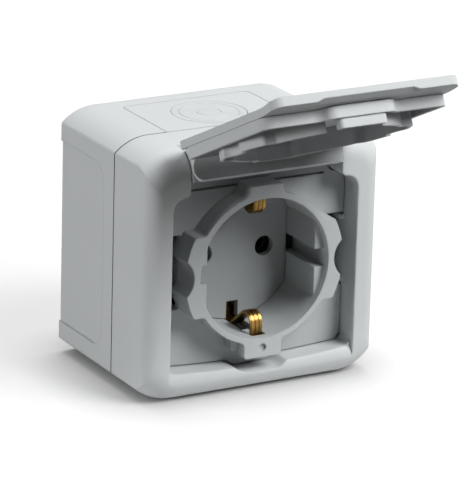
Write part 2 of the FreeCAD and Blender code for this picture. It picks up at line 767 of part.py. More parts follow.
def entry_membrane():
    """Soft cable membrane with tear rings, held in the upper entry plate."""
    lip_level = HALF_HEIGHT - s.box_wall - s.entry_lip_thick
    foot = lip_level - s.membrane_web
    body = post("membrane_body", 0, ENTRY_AXIS, foot, HALF_HEIGHT, s.entry_radius - s.entry_line)
    flange = post("membrane_flange", 0, ENTRY_AXIS, foot, lip_level, s.entry_radius + s.entry_lip)
    tools = [post(
        "membrane_bore", 0, ENTRY_AXIS, foot - PASS, HALF_HEIGHT - s.membrane_web,
        s.entry_radius - s.entry_line - s.membrane_web,
    )]
    for name, radius in (("outer", s.membrane_step), ("inner", s.membrane_core)):
        tools.append(slab(
            f"membrane_groove_{name}", TOP_PLANE, HALF_HEIGHT - s.ring_groove, s.ring_groove + PASS,
            (0, -ENTRY_AXIS, radius), (0, -ENTRY_AXIS, radius - s.ring_groove),
        ))
    label(cut("membrane_cut", fuse("membrane_solid", body, flange), *tools), "entry_membrane_top")


def joint_ring(name, start, length):
    """Ring between the two outlines of the joint seal."""
    return slab(
        name, FRONT_PLANE, start, length,
        body_outline(s.box_wall - s.gasket_width), body_outline(s.box_wall),
    )


def box_gasket():
    """Joint seal in the front frame, pressed on the rim of the back box."""
    label(joint_ring("gasket", BOX_FRONT, s.seam_gap + s.gasket_sink), "box_gasket")


def frame_form(name, inset, back):
    """The frame's outer form, or the same form further in.

    One prism carries the round of the sides and a wider one that of the top and bottom.
    """
    front = FRONT - inset
    level = -front.value
    forms = []

    def is_front(first, last):
        return abs(first.y - level) < 1e-6 and abs(last.y - level) < 1e-6

    for key, spread, radius in (
        ("side", 0, s.side_round - inset),
        ("edge", s.front_round - s.side_round, s.front_round - inset),
    ):
        prism = body_prism(f"{name}_{key}", back, front - back, inset, spread)
        forms.append(rounded(f"{name}_{key}", prism, is_front, radius))
    return common(name, *forms)


def sill_profile():
    """Side view of what the set-back sill leaves free down to the lower front round.

    One arc runs from the sill's edge to the round and meets it without a crease.
    """
    level = -s.sill_drop
    middle_z = -HALF_HEIGHT + s.front_round
    reach = root(square(s.front_round) - square(s.sill_merge))
    meet_y = s.front_round - reach - FRONT
    meet_z = middle_z - s.sill_merge
    ahead = -FRONT + s.sill_setback - meet_y
    down = level - meet_z
    chord = square(ahead) + square(down)
    curve = chord * s.front_round / (2 * (ahead * reach + down * s.sill_merge))
    return [
        (-FRONT + s.sill_setback, level + s.sill_round),
        (-FRONT + s.sill_setback, level),
        (meet_y, meet_z, curve),
        (-FRONT - PASS, meet_z),
        (-FRONT - PASS, level + s.sill_round),
    ]


def front_frame():
    """Front frame with the lid recess, hinge neck, finger scoop and screw bosses."""
    outer = frame_form("frame_outer", as_size(0), FRAME_BACK)
    inside = FRONT - s.frame_wall - FRAME_BACK + PASS
    inner = slab("frame_inner", FRONT_PLANE, FRAME_BACK - PASS, inside, body_outline(s.frame_wall))
    shell = cut("frame_shell", outer, inner)
    over = HALF_HEIGHT + PASS
    wall_depth = FRONT - FLANGE_BACK
    lip = common(
        "recess_lip",
        fuse(
            "recess_lip_solid",
            slab("lip_recess", FRONT_PLANE, FLANGE_BACK, wall_depth, opening_outline(-s.lip_wall, over)),
            slab("lip_scoop", FRONT_PLANE, FLANGE_BACK, wall_depth, scoop_outline(-s.lip_wall)),
        ),
        outer,
    )
    bosses = [
        rod(f"frame_boss_{index}", x, z, FRAME_BACK, PLATE_BACK, s.frame_boss_radius)
        for index, (x, z) in enumerate(frame_screw_spots())
    ]
    solid = fuse("frame_solid", shell, lip, *bosses)
    recess = FRONT - PLATE_BACK + PASS
    tube = s.mouth_radius + s.well_wall + s.tube_gap
    half_opening = s.opening_width / 2
    half_gap = s.gap_height / 2
    tools = [
        slab("recess_tool", FRONT_PLANE, PLATE_BACK, recess, opening_outline(as_size(0), over)),
        slab("scoop_tool", FRONT_PLANE, PLATE_BACK, recess, scoop_outline(as_size(0))),
        rod("tube_passage", 0, 0, FLANGE_BACK - PASS, PLATE_BACK + PASS, tube),
        block(
            "gap_passage", -half_opening, half_opening, FLANGE_BACK - PASS, PLATE_BACK + PASS,
            -half_gap, half_gap,
        ),
        slab("sill_curve_tool", SIDE_PLANE, 0, s.opening_width, sill_profile(), both=True),
        joint_ring("gasket_groove", FRAME_BACK - PASS, s.gasket_sink + PASS),
        axle(
            "pin_bore", FRONT - s.hinge_setback, s.hinge_rise,
            -s.neck_width / 2 - s.lip_wall, s.neck_width / 2 + s.lip_wall,
            s.pin_radius + s.pin_run / 3,
        ),
    ]
    for index, (x, z) in enumerate(frame_screw_spots()):
        head = s.frame_head_radius + s.fit_gap
        bore = s.frame_screw_radius + s.screw_gap
        seat = PLATE_BACK - s.frame_head_height
        tools.append(rod(f"frame_head_seat_{index}", x, z, seat, PLATE_BACK + PASS, head))
        tools.append(rod(f"frame_screw_bore_{index}", x, z, FRAME_BACK - PASS, PLATE_BACK, bore))
    opened = cut("frame_opened", solid, *tools)
    claws = []
    for side in (-1, 1):
        for rise in (-1, 1):
            span = sorted(
                (side * (half_opening - s.claw_width), side * (half_opening + s.lip_wall / 2)),
                key=lambda size: size.value,
            )
            middle = s.claw_rise * rise
            claws.append(block(
                f"claw_{side}_{rise}", *span, FLANGE_BACK, PLATE_BACK + s.claw_length,
                middle - s.claw_height / 2, middle + s.claw_height / 2,
            ))
    label(fuse("frame_complete", opened, *claws), "front_frame")


def slotted_screw(name, x, z, seat, radius, length, head_radius, head_height):
    """Round-headed screw along the depth, its head in front of the seat."""
    head = rod(name + "_head", x, z, seat, seat + head_height, head_radius)
    shank = rod(name + "_shank", x, z, seat - length, seat + head_height / 2, radius)
    half = s.drive_slot_width / 2
    slot = block(
        name + "_slot", x - head_radius - PASS, x + head_radius + PASS,
        seat + head_height - s.drive_slot_depth, seat + head_height + PASS, z - half, z + half,
    )
    return cut(name + "_screw", fuse(name + "_solid", head, shank), slot)


def frame_screws():
    """Two screws that hold the frame to the back box."""
    screws = [
        slotted_screw(
            f"frame_screw_{index}", x, z, PLATE_BACK - s.frame_head_height,
            s.frame_screw_radius, s.frame_screw_length, s.frame_head_radius, s.frame_head_height,
        )
        for index, (x, z) in enumerate(frame_screw_spots())
    ]
    group("frame_screws", *screws)


def base_screws():
    """Two screws that hold the contact base to its posts."""
    screws = [
        slotted_screw(
            f"base_screw_{side}", s.ear_screw_reach * side, as_size(0), s.base_back + s.ear_thick,
            s.base_screw_radius, s.base_screw_length, s.base_head_radius, s.base_head_height,
        )
        for side in (-1, 1)
    ]
    group("base_screws", *screws)


def collar_insert():
    """Insert plate with the lobed collar, the well and its guide blocks in one moulding."""
    bar_top = s.opening_top + s.bar_rise
    plate = slab(
        "insert_plate", FRONT_PLANE, PLATE_BACK, s.plate_thick, opening_outline(s.fit_gap, bar_top)
    )
    scoop = slab("insert_scoop", FRONT_PLANE, PLATE_BACK, s.plate_thick, scoop_outline(s.fit_gap))
    half_neck = s.neck_width / 2 - s.fit_gap
    half_gap = s.gap_height / 2
    past = s.opening_width / 2 + PASS
    slot_top = s.opening_top - s.fit_gap
    trims = [
        block("gap_right", s.plate_inner, past, FLANGE_BACK, FRONT, -half_gap, half_gap),
        block("gap_left", -past, -s.plate_inner, FLANGE_BACK, FRONT, -half_gap, half_gap),
        block(
            "bar_slot", -half_neck + s.neck_round, half_neck - s.neck_round,
            PLATE_FRONT - s.slot_depth, PLATE_FRONT + PASS, slot_top - s.slot_height, slot_top,
        ),
    ]
    faceplate = cut("insert_faceplate", fuse("insert_sheet", plate, scoop), *trims)
    collar = slab(
        "collar", FRONT_PLANE, PLATE_BACK, FRONT - PLATE_BACK,
        collar_outline(as_size(0), s.lobe_blend, s.top_blend, s.low_blend),
    )
    half_step = s.step_width / 2
    step = slab(
        "lobe_step", FRONT_PLANE, PLATE_BACK, s.plate_thick + s.step_height,
        rounded_box(-half_step, half_step, -s.step_reach, -s.collar_radius / 2, s.low_corner),
    )
    tube = rod("well_tube", 0, 0, FLOOR_BACK, PLATE_FRONT, s.mouth_radius + s.well_wall)
    bore = rod("well_bore", 0, 0, FLOOR_BACK - PASS, FRONT + PASS, s.mouth_radius)
    moulding = cut("insert_moulding", fuse("insert_solid", faceplate, collar, step, tube), bore)
    guide_front = FRONT - s.guide_start
    reach = s.mouth_radius + s.well_wall / 2
    half_groove = s.guide_groove / 2
    guide_round = rod("guide_round", 0, 0, FLOOR_BACK, guide_front, reach)
    guide_bars = []
    for side in (-1, 1):
        for rise in (-1, 1):
            across = sorted((s.guide_flat * side, reach * side), key=lambda size: size.value)
            along = sorted((half_groove * rise, reach * rise), key=lambda size: size.value)
            guide_bars.append(block(
                f"guide_bar_{side}_{rise}", *across, FLOOR_BACK, guide_front, *along
            ))
    guides = common("guides", guide_round, fuse("guide_bars", *guide_bars))
    half_slot = s.clip_slot_width / 2
    slot_front = FRONT - s.clip_slot_start
    tools = [rod(
        "gate_dimple", 0, -s.dimple_drop, FRONT - s.drive_slot_depth, FRONT + PASS,
        s.dimple_radius,
    )]
    for rise in (-1, 1):
        near = s.notch_reach * rise
        blind = sorted((near, (s.strip_reach + s.fit_gap) * rise), key=lambda size: size.value)
        through = sorted(
            (near, (s.mouth_radius + s.well_wall + PASS) * rise), key=lambda size: size.value
        )
        tools.append(block(
            f"clip_slot_{rise}", -half_slot, half_slot, FLOOR_BACK - PASS, slot_front, *blind
        ))
        tools.append(block(
            f"clip_window_{rise}", -half_slot, half_slot, FLOOR_BACK - PASS, FLANGE_BACK, *through
        ))
    label(cut("insert_cut", fuse("insert_full", moulding, guides), *tools), "collar_insert")


def well_floor():
    """Floor of the well with the pin holes and the notches for the earth clips."""
    radius = s.mouth_radius - s.floor_gap
    flat = s.guide_flat - s.floor_gap
    disc = common(
        "floor_disc",
        rod("floor_round", 0, 0, FLOOR_BACK, FLOOR_FRONT, radius),
        block("floor_flats", -flat, flat, FLOOR_BACK, FLOOR_FRONT, -radius, radius),
    )
    half_notch = s.notch_width / 2
    back, front = FLOOR_BACK - PASS, FLOOR_FRONT + PASS
    label(cut(
        "floor_cut", disc,
        rod("pin_hole_left", -HALF_PINS, 0, back, front, s.pin_hole_radius),
        rod("pin_hole_right", HALF_PINS, 0, back, front, s.pin_hole_radius),
        block("notch_top", -half_notch, half_notch, back, front, s.notch_reach, radius + PASS),
        block("notch_low", -half_notch, half_notch, back, front, -radius - PASS, -s.notch_reach),
    ), "well_floor")


# Depth levels of the contacts behind the floor.
SLEEVE_FRONT = FLOOR_BACK - s.sleeve_sink
SLEEVE_BACK = SLEEVE_FRONT - s.sleeve_length
STRAP_BACK = FLOOR_BACK - s.strap_setback
TERMINAL_FAR = s.terminal_reach + s.terminal_height
EARTH_SIDE = s.strip_width / 2 + s.strap_side + s.clamp_head_radius


def socket_base():
    """Insulating base that holds the contacts, with two mounting ears."""
    half_width = s.base_width / 2
    half_height = s.base_height / 2
    body = slab(
        "base_body", FRONT_PLANE, s.base_back, FLOOR_BACK - s.base_back,
        rounded_box(-half_width, half_width, -half_height, half_height, s.base_round),
    )
    half_ear = s.ear_height / 2
    ears = slab(
        "base_ears", FRONT_PLANE, s.base_back, s.ear_thick,
        rounded_box(-s.ear_reach, s.ear_reach, -half_ear, half_ear, s.base_head_radius),
    )
    front = FLOOR_BACK + PASS
    gap = s.pocket_gap
    half_block = s.terminal_width / 2
    half_tail = s.tail_width / 2
    tail_back = SLEEVE_BACK - s.tail_thick
    wire = s.wire_hole_radius + gap
    tools = []
    for side in (-1, 1):
        x = HALF_PINS * side
        tools.append(rod(f"sleeve_pocket_{side}", x, 0, tail_back, front, s.sleeve_radius + gap))
        tools.append(block(
            f"terminal_pocket_{side}", x - half_block - gap, x + half_block + gap,
            SLEEVE_BACK, front, s.terminal_reach - gap, TERMINAL_FAR + gap,
        ))
        tools.append(block(
            f"tail_pocket_{side}", x - half_tail - gap, x + half_tail + gap,
            tail_back, front, 0, TERMINAL_FAR + gap,
        ))
        wire_depth = SLEEVE_BACK + s.terminal_depth / 2
        tools.append(post(f"wire_entry_{side}", x, wire_depth, TERMINAL_FAR, half_height + PASS, wire))
        tools.append(rod(
            f"ear_hole_{side}", s.ear_screw_reach * side, 0, s.base_back - PASS,
            s.base_back + s.ear_thick + PASS, s.base_screw_radius + s.screw_gap,
        ))
    earth_back = STRAP_BACK - s.terminal_depth
    tools.append(block(
        "terminal_pocket_earth", EARTH_SIDE - half_block - gap, EARTH_SIDE + half_block + gap,
        earth_back, front, -TERMINAL_FAR - gap, -s.terminal_reach + gap,
    ))
    tools.append(post(
        "wire_entry_earth", EARTH_SIDE, earth_back + s.terminal_depth / 2, -half_height - PASS,
        -TERMINAL_FAR, wire,
    ))
    half_strap = s.strip_width / 2 + gap
    tools.append(block(
        "strap_groove", -half_strap, half_strap, STRAP_BACK, front,
        -half_height - PASS, half_height + PASS,
    ))
    label(cut("base_cut", fuse("base_solid", body, ears), *tools), "socket_base")


def live_contact(name, side):
    """Slit sleeve for a plug pin, with a tail to its terminal block."""
    x = HALF_PINS * side
    sleeve = rod(name + "_sleeve", x, 0, SLEEVE_BACK, SLEEVE_FRONT, s.sleeve_radius)
    half_tail = s.tail_width / 2
    tail = block(
        name + "_tail", x - half_tail, x + half_tail, SLEEVE_BACK - s.tail_thick, SLEEVE_BACK,
        0, TERMINAL_FAR,
    )
    base = rod(name + "_base", x, 0, SLEEVE_BACK - s.tail_thick, SLEEVE_BACK, s.sleeve_radius)
    half_slit = s.sleeve_slit / 2
    label(cut(
        name + "_cut", fuse(name + "_solid", sleeve, tail, base),
        rod(name + "_bore", x, 0, SLEEVE_BACK, SLEEVE_FRONT + PASS, s.sleeve_bore),
        block(
            name + "_slit", x - half_slit, x + half_slit, SLEEVE_BACK + s.sleeve_bore,
            SLEEVE_FRONT + PASS, -s.sleeve_radius - PASS, 0,
        ),
    ), name)


def terminal(name, x, rise, back):
    """Terminal block with a wire hole and a threaded hole for its clamp screw."""
    half = s.terminal_width / 2
    span = sorted((s.terminal_reach * rise, TERMINAL_FAR * rise), key=lambda size: size.value)
    body = block(name + "_body", x - half, x + half, back, back + s.terminal_depth, *span)
    bottom = span[0] - PASS if rise < 0 else span[0] + s.clamp_screw_radius
    top = span[1] + PASS if rise > 0 else span[1] - s.clamp_screw_radius
    middle = back + s.terminal_depth / 2
    z = (s.terminal_reach + s.terminal_height / 2) * rise
    label(cut(
        name + "_cut", body,
        post(name + "_wire_hole", x, middle, bottom, top, s.wire_hole_radius),
        rod(
            name + "_thread", x, z, middle, back + s.terminal_depth + PASS,
            s.clamp_screw_radius + s.screw_gap / 3,
        ),
    ), name)


def terminals():
    """Three terminal blocks and their clamp screws."""
    middle = s.terminal_reach + s.terminal_height / 2
    earth_back = STRAP_BACK - s.terminal_depth
    terminal("terminal_left", -HALF_PINS, 1, SLEEVE_BACK)
    terminal("terminal_right", HALF_PINS, 1, SLEEVE_BACK)
    terminal("terminal_earth", EARTH_SIDE, -1, earth_back)
    length = s.terminal_depth / 2
    screws = []
    for name, x, z, back in (
        ("left", -HALF_PINS, middle, SLEEVE_BACK),
        ("right", HALF_PINS, middle, SLEEVE_BACK),
        ("earth", EARTH_SIDE, -middle, earth_back),
    ):
        screws.append(slotted_screw(
            f"clamp_{name}", x, z, back + s.terminal_depth,
            s.clamp_screw_radius, length, s.clamp_head_radius, s.clamp_head_height,
        ))
    group("terminal_screws", *screws)


def bow_half(sink, rise):
    """Strip edge points of one clip from its free end to the cross leg: near side, then far side."""
    bend = s.clip_bend
    near = s.strip_reach - s.strip_thick + sink
    tip = s.strip_reach + sink * 0
    front = FRONT - s.clip_front - sink
    cy = FRONT - s.clip_front - bend
    cz = s.clip_peak + bend
    radius = bend - sink
    foot_y = FRONT - s.clip_back - sink / 2
    foot_z = near
    dy, dz = foot_y - cy, foot_z - cz
    reach = square(dy) + square(dz)
    run = root(reach - square(radius))
    ty = cy + (square(radius) * dy - radius * run * dz) / reach
    tz = cz + (square(radius) * dz + radius * run * dy) / reach
    far_radius = bend - s.strip_thick
    share = far_radius / radius
    uy, uz = cy + (ty - cy) * share, cz + (tz - cz) * share
    far_y = uy + (s.strip_reach - uz) * (foot_y - ty) / (foot_z - tz)
    turn = rise
    near_side = [
        (-front, tip * rise), (-front, cz * rise),
        (-ty, tz * rise, radius * turn), (-foot_y, foot_z * rise),
    ]
    far_side = [
        (-far_y, s.strip_reach * rise), (-uy, uz * rise),
        (-cy - far_radius, cz * rise, far_radius * -turn), (-cy - far_radius, s.strip_reach * rise),
    ]
    return near_side, far_side


def bow_outline(sink):
    """Side view of the whole earth strap: two arched clips joined by a cross leg."""
    near_top, far_top = bow_half(sink, 1)
    near_low, far_low = bow_half(sink, -1)
    cross_front = STRAP_BACK + s.strip_thick - sink
    inner = s.strip_reach - s.strip_thick + sink
    return [
        *near_top, (-cross_front, inner), (-cross_front, -inner), *reversed_path(near_low),
        *reversed_path(far_low), (-STRAP_BACK, -s.strip_reach), (-STRAP_BACK, s.strip_reach),
        *far_top,
    ]


def reversed_path(path):
    """The same path walked the other way, arcs included."""
    spots = [vertex[:2] for vertex in path][::-1]
    arcs = [vertex[2] if len(vertex) == 3 else None for vertex in path][::-1]
    steps = [None, *arcs[:-1]]
    return [spot if arc is None else (*spot, -arc) for spot, arc in zip(spots, steps)]


def earth_bow():
    """Sprung earth strap with ridges along its arches."""
    ridge = s.strip_width / 6
    sink = s.strip_thick / 4
    body = slab("bow_body", SIDE_PLANE, 0, s.strip_width, bow_outline(sink), both=True)
    parts = [body]
    for index, shift in enumerate((-2, 0, 2)):
        parts.append(slab(
            f"bow_ridge_{index}", SIDE_PLANE, ridge * shift - ridge / 2, ridge,
            bow_outline(as_size(0)),
        ))
    label(fuse("bow", *parts), "earth_bow")


def wall_screw_seals():
    """Two sealing washers over the wall screw holes inside the box."""
    washers = []
    for side in (-1, 1):
        z = s.wall_hole_pitch / 2 * side
        washers.append(cut(
            f"washer_{side}",
            rod(f"washer_disc_{side}", 0, z, s.back_wall, s.back_wall + s.washer_thick, s.washer_radius),
            rod(
                f"washer_hole_{side}", 0, z, s.back_wall - PASS, s.back_wall + s.washer_thick + PASS,
                s.wall_hole_radius,
            ),
        ))
    group("wall_screw_seals", *washers)


BARREL_HALF = s.neck_width / 2 - s.neck_play
LID_FACE = s.hinge_setback + s.lid_proud
LID_BACK = LID_FACE - s.lid_thick
LID_END = s.lid_start + s.lid_length


def hinge_pins():
    """Two hinge pins, each through a neck wall into a cheek of the lid."""
    depth = FRONT - s.hinge_setback
    inner = BARREL_HALF - s.cheek_width
    outer = s.neck_width / 2 + s.lip_wall
    right = axle("pin_right", depth, s.hinge_rise, inner, outer, s.pin_radius)
    left = axle("pin_left", depth, s.hinge_rise, -outer, -inner, s.pin_radius)
    label(right, "hinge_pin_right")
    label(left, "hinge_pin_left")


def on_hinge(item):
    """Set a lid piece, drawn shut about the hinge axis, in its place with the lid open."""
    item.Placement = Placement(Vector(), Rotation(Vector(1, 0, 0), -s.open_angle.value))
    bind(item, "Placement.Rotation.Angle", s.open_angle * -1)
    bind(item, "Placement.Base.y", s.hinge_setback - FRONT)
    bind(item, "Placement.Base.z", s.hinge_rise)
    return item


def tangent_point(x, y, radius, side):
    """Where a line from (x, y) touches the circle of that radius about the hinge axis."""
    reach = square(x) + square(y)
    run = root(reach - square(radius))
    turn = radius * run * side
    return (square(radius) * x - turn * y) / reach, (square(radius) * y + turn * x) / reach


def neck_profile():
    """Side view of the barrel, its web to the plate, and the hollow drip leaf."""
    cx, cy = s.hollow_behind, -s.hollow_below
    apart = root(square(cx) + square(cy))
    along = (square(s.leaf_reach) - square(s.leaf_hollow) + square(apart)) / (2 * apart)
    off = root(square(s.leaf_reach) - square(along))
    tip_x = (along * cx - off * cy) / apart
    tip_y = (along * cy + off * cx) / apart
    share = (s.leaf_hollow + s.leaf_edge) / s.leaf_hollow
    back_x, back_y = cx + (tip_x - cx) * share, cy + (tip_y - cy) * share
    leaf_x, leaf_y = tangent_point(back_x, back_y, s.barrel_radius, 1)
    skin_x, skin_y = tangent_point(-LID_FACE, -s.lid_start, s.barrel_radius, -1)
    low = s.skirt_start - s.entry_line
    return [
        (-LID_FACE, -low),
        (-LID_FACE, -s.lid_start),
        (skin_x, skin_y),
        (0, s.barrel_radius, -s.barrel_radius),
        (leaf_x, leaf_y, -s.barrel_radius),
        (back_x, back_y),
        (tip_x, tip_y),
        (cx - s.leaf_hollow, cy, s.leaf_hollow),
        (cx - s.leaf_hollow, -low),
    ]


def lid_plate():
    """The lid's cover plate with its curled front edge."""
    lip_start = LID_END - s.lip_run
    lift = s.lip_lift
    inner_lift = s.lip_lift + s.lid_thick - s.lip_edge
    curl = (square(s.lip_run) + square(lift)) / (2 * lift)
    inner_curl = (square(s.lip_run) + square(inner_lift)) / (2 * inner_lift)
    seen_from_side = [
        (-LID_FACE, -s.lid_start),
        (-LID_FACE, -lip_start),
        (-LID_FACE - lift, -LID_END, -curl),
        (-LID_BACK - inner_lift, -LID_END),
        (-LID_BACK, -lip_start, inner_curl),
        (-LID_BACK, -s.lid_start),
    ]
    half = s.lid_width / 2
    sharp = s.skirt_inset * 2
    seen_from_front = [
        (half, -LID_END + s.lid_corner, s.lid_corner), (half, -s.lid_start - sharp),
        (half - sharp, -s.lid_start, sharp), (-half + sharp, -s.lid_start),
        (-half, -s.lid_start - sharp, sharp), (-half, -LID_END + s.lid_corner),
        (-half + s.lid_corner, -LID_END, s.lid_corner), (half - s.lid_corner, -LID_END),
    ]
    plate = common(
        "lid_plate",
        slab("lid_plate_side", SIDE_PLANE, 0, s.lid_width, seen_from_side, both=True),
        slab("lid_plate_front", FRONT_PLANE, 0, LID_FACE * 2, seen_from_front),
    )
    start = s.bulge_reach + s.skirt_wall
    relief_front = LID_BACK + inner_lift + s.grip_depth
    relief_half = s.grip_width / 2
    relief_top = relief_half - s.grip_ramp
    relief = common(
        "grip_relief",
        slab(
            "grip_relief_side", SIDE_PLANE, 0, s.grip_width,
            [
                (-LID_BACK + PASS, -start), (-LID_BACK, -start), (-relief_front, -LID_END),
                (-relief_front, -LID_END - PASS), (-LID_BACK + PASS, -LID_END - PASS),
            ],
            both=True,
        ),
        slab(
            "grip_relief_ends", TOP_PLANE, -LID_END - PASS, LID_END + PASS - start,
            [
                (relief_top, -relief_front), (relief_half, -LID_BACK),
                (relief_half, -LID_BACK + PASS), (-relief_half, -LID_BACK + PASS),
                (-relief_half, -LID_BACK), (-relief_top, -relief_front),
            ],
        ),
    )
    return cut("lid_plate_relieved", plate, relief)


def leaf_corner(name, side):
    """Tool that rounds one lower corner of the drip leaf."""
    centre = BARREL_HALF - s.leaf_corner
    reach = s.leaf_reach
    span = sorted((centre * side, (BARREL_HALF + PASS) * side), key=lambda size: size.value)
    square_corner = block(
        name + "_square", *span, -reach - PASS, s.leaf_corner - reach + s.leaf_edge,
        -s.hollow_below, -s.barrel_radius + s.barrel_skin,
    )
    round_corner = post(
        name + "_round", centre * side, s.leaf_corner - reach + s.leaf_edge,
        -s.hollow_below - PASS, 0, s.leaf_corner,
    )
    return cut(name, square_corner, round_corner)


def lid():
    """Hinged lid: cover plate, cored barrel with two cheeks, and the drip leaf."""
    neck = slab("lid_neck", SIDE_PLANE, 0, BARREL_HALF * 2, neck_profile(), both=True)
    solid = fuse("lid_solid", lid_plate(), neck)
    core = s.barrel_radius - s.barrel_skin
    cheek = BARREL_HALF - s.cheek_width
    bore = s.pin_radius + s.pin_run
    lobe_half = s.top_lobe_width / 2 + s.seal_gap
    lobe_top = s.top_lobe_reach + s.seal_gap - s.hinge_rise
    lid_cut = cut(
        "lid_cut", solid,
        block(
            "lobe_pocket", -lobe_half, lobe_half, -s.hollow_behind - s.leaf_hollow, LID_BACK,
            -s.skirt_start - PASS, lobe_top,
        ),
        axle("barrel_core", 0, 0, -cheek, cheek, core),
        block("barrel_slot", -cheek, cheek, -s.barrel_radius - PASS, 0, -core / 2, core / 2),
        axle("lid_pin_bore", 0, 0, -BARREL_HALF - PASS, BARREL_HALF + PASS, bore),
        leaf_corner("leaf_corner_left", -1),
        leaf_corner("leaf_corner_right", 1),
    )
    label(on_hinge(lid_cut), "lid")
    return solid


def skirt_outline(inset):
    """Skirt seen from the front: square sides, and a stepped bulge at the front."""
    half = s.lid_width / 2 - s.skirt_inset - inset
    back = -s.skirt_start - inset
    front = -s.skirt_reach + inset
    bulge = -s.bulge_reach + inset
    corner = s.skirt_round - inset
    flat = s.bulge_width / 2 - inset / 4
    half_run = s.bulge_ramp / 2
    rise = front - bulge
    ramp = (square(half_run) + square(rise / 2)) / rise
    middle = (front + bulge) / 2
    return [
        (half, front + corner, corner), (half, back - corner), (half - corner, back, corner),
        (-half + corner, back), (-half, back - corner, corner), (-half, front + corner),
        (-half + corner, front, corner), (-flat - s.bulge_ramp, front),
        (-flat - half_run, middle, -ramp), (-flat, bulge, ramp), (flat, bulge),
        (flat + half_run, middle, ramp), (flat + s.bulge_ramp, front, -ramp),
        (half - corner, front),
    ]


def lid_inner_frame(lid_solid):
    """Tray inside the lid with its skirt and the wall that closes round the collar."""
    edge = LID_BACK - s.skirt_height
    skirt = cut(
        "skirt",
        slab("skirt_outer", FRONT_PLANE, edge, s.skirt_height, skirt_outline(as_size(0))),
        slab(
            "skirt_inner", FRONT_PLANE, edge - PASS, s.skirt_height - s.tray_thick + PASS,
            skirt_outline(s.skirt_wall),
        ),
    )
    rim = LID_BACK - s.seal_height
    outer_form, inner_form = (
        collar_outline(s.seal_gap + grow, blend, s.top_blend - s.seal_gap - grow, blend)
        for grow, blend in ((s.seal_wall, s.seal_blend), (as_size(0), s.seal_blend + s.seal_wall))
    )
    outer = slab("seal_outer", FRONT_PLANE, rim, s.seal_height, outer_form)
    inner = slab("seal_inner", FRONT_PLANE, rim - PASS, s.seal_height + PASS * 2, inner_form)
    for form in (outer, inner):
        bind(form, "Placement.Base.z", -s.hinge_rise)
    half_step = s.step_width / 2 + s.fit_gap
    relief = block(
        "step_relief", -half_step, half_step, rim - PASS, PLATE_FRONT + s.step_height + s.fit_gap,
        -s.hinge_rise - s.step_reach - s.fit_gap, -s.hinge_rise - s.collar_radius / 2,
    )
    frame = cut("inner_frame_solid", fuse("inner_frame_full", skirt, outer), inner, relief)
    label(on_hinge(cut("inner_frame_cut", frame, lid_solid)), "lid_inner_frame")


def export_nodes():
    """Check every object of the document, then write each node to its own file."""
    doc.recompute()
    faults = [item.Name for item in doc.Objects if {"Invalid", "Error"} & set(item.State)]
    for item in nodes:
        if item.Shape.isNull() or not item.Shape.isValid() or not item.Shape.Solids:
            faults.append(item.Label)
    if faults:
        print("not built:", ", ".join(faults))
        sys.exit(1)
    for item in nodes:
        item.Shape.exportStep(f"parts/{item.Label}.step")
        box = item.Shape.BoundBox
        print(
            f"{item.Label}: {len(item.Shape.Solids)} solid(s), {item.Shape.Volume:.1f} mm3,",
            f"x {box.XMin:.2f} {box.XMax:.2f}, y {box.YMin:.2f} {box.YMax:.2f},",
            f"z {box.ZMin:.2f} {box.ZMax:.2f}",
        )


back_box()
box_gasket()
entry_plate("entry_plate_top", 1, True)
entry_membrane()
entry_plate("entry_plate_bottom", -1, False)
front_frame()
frame_screws()
collar_insert()
well_floor()
socket_base()
base_screws()
live_contact("contact_left", -1)
live_contact("contact_right", 1)
earth_bow()
terminals()
wall_screw_seals()
hinge_pins()
lid_inner_frame(lid())
export_nodes()
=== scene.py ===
"""Looks of an outdoor wall socket with its weather lid open, in a plain light studio."""

from __future__ import annotations

import logging
import math
from dataclasses import dataclass
from enum import Enum

import bpy
from mathutils import Matrix, Vector


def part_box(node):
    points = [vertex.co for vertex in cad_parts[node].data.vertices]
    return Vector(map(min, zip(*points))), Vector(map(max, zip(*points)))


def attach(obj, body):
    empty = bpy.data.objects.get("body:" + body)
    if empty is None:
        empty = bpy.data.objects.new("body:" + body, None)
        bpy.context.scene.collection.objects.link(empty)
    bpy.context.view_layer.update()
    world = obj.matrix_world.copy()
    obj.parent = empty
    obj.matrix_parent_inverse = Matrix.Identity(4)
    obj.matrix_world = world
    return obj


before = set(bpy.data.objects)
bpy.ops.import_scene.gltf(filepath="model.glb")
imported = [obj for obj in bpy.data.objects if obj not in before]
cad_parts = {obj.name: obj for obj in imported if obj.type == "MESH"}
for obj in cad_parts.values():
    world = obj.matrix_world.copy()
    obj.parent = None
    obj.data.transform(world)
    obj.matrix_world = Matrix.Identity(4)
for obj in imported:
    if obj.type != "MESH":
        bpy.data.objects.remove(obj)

LOG = logging.getLogger("wall_socket")
MM = 0.001
IMAGE_WIDTH = 468
HOUSING_BODY = "housing"

Triple = tuple[float, float, float]
Socket = bpy.types.NodeSocket


class Gloss(Enum):
    """How much a surface shines, as shader roughness."""

    EGGSHELL = 0.46
    MATT = 0.62


def scaled(colour: Triple, factor: float) -> Triple:
    """Make a colour lighter or darker.

    Args:
        colour: Linear colour.
        factor: What each part is multiplied by.

    Returns:
        The new colour.
    """
    red, green, blue = colour
    return red * factor, green * factor, blue * factor


def seen_directly(tree: bpy.types.NodeTree) -> Socket:
    """Tell the rays that show a surface, straight on, mirrored or through glass, from the rest.

    Args:
        tree: Node tree of the surface or the world.

    Returns:
        A socket that is 1 for those rays and 0 for the light that reaches the object.
    """
    rays = tree.nodes.new("ShaderNodeLightPath")
    total = rays.outputs["Is Camera Ray"]
    for kind in ("Is Glossy Ray", "Is Transmission Ray"):
        either = tree.nodes.new("ShaderNodeMath")
        either.operation = "MAXIMUM"
        tree.links.new(total, either.inputs[0])
        tree.links.new(rays.outputs[kind], either.inputs[1])
        total = either.outputs["Value"]
    return total


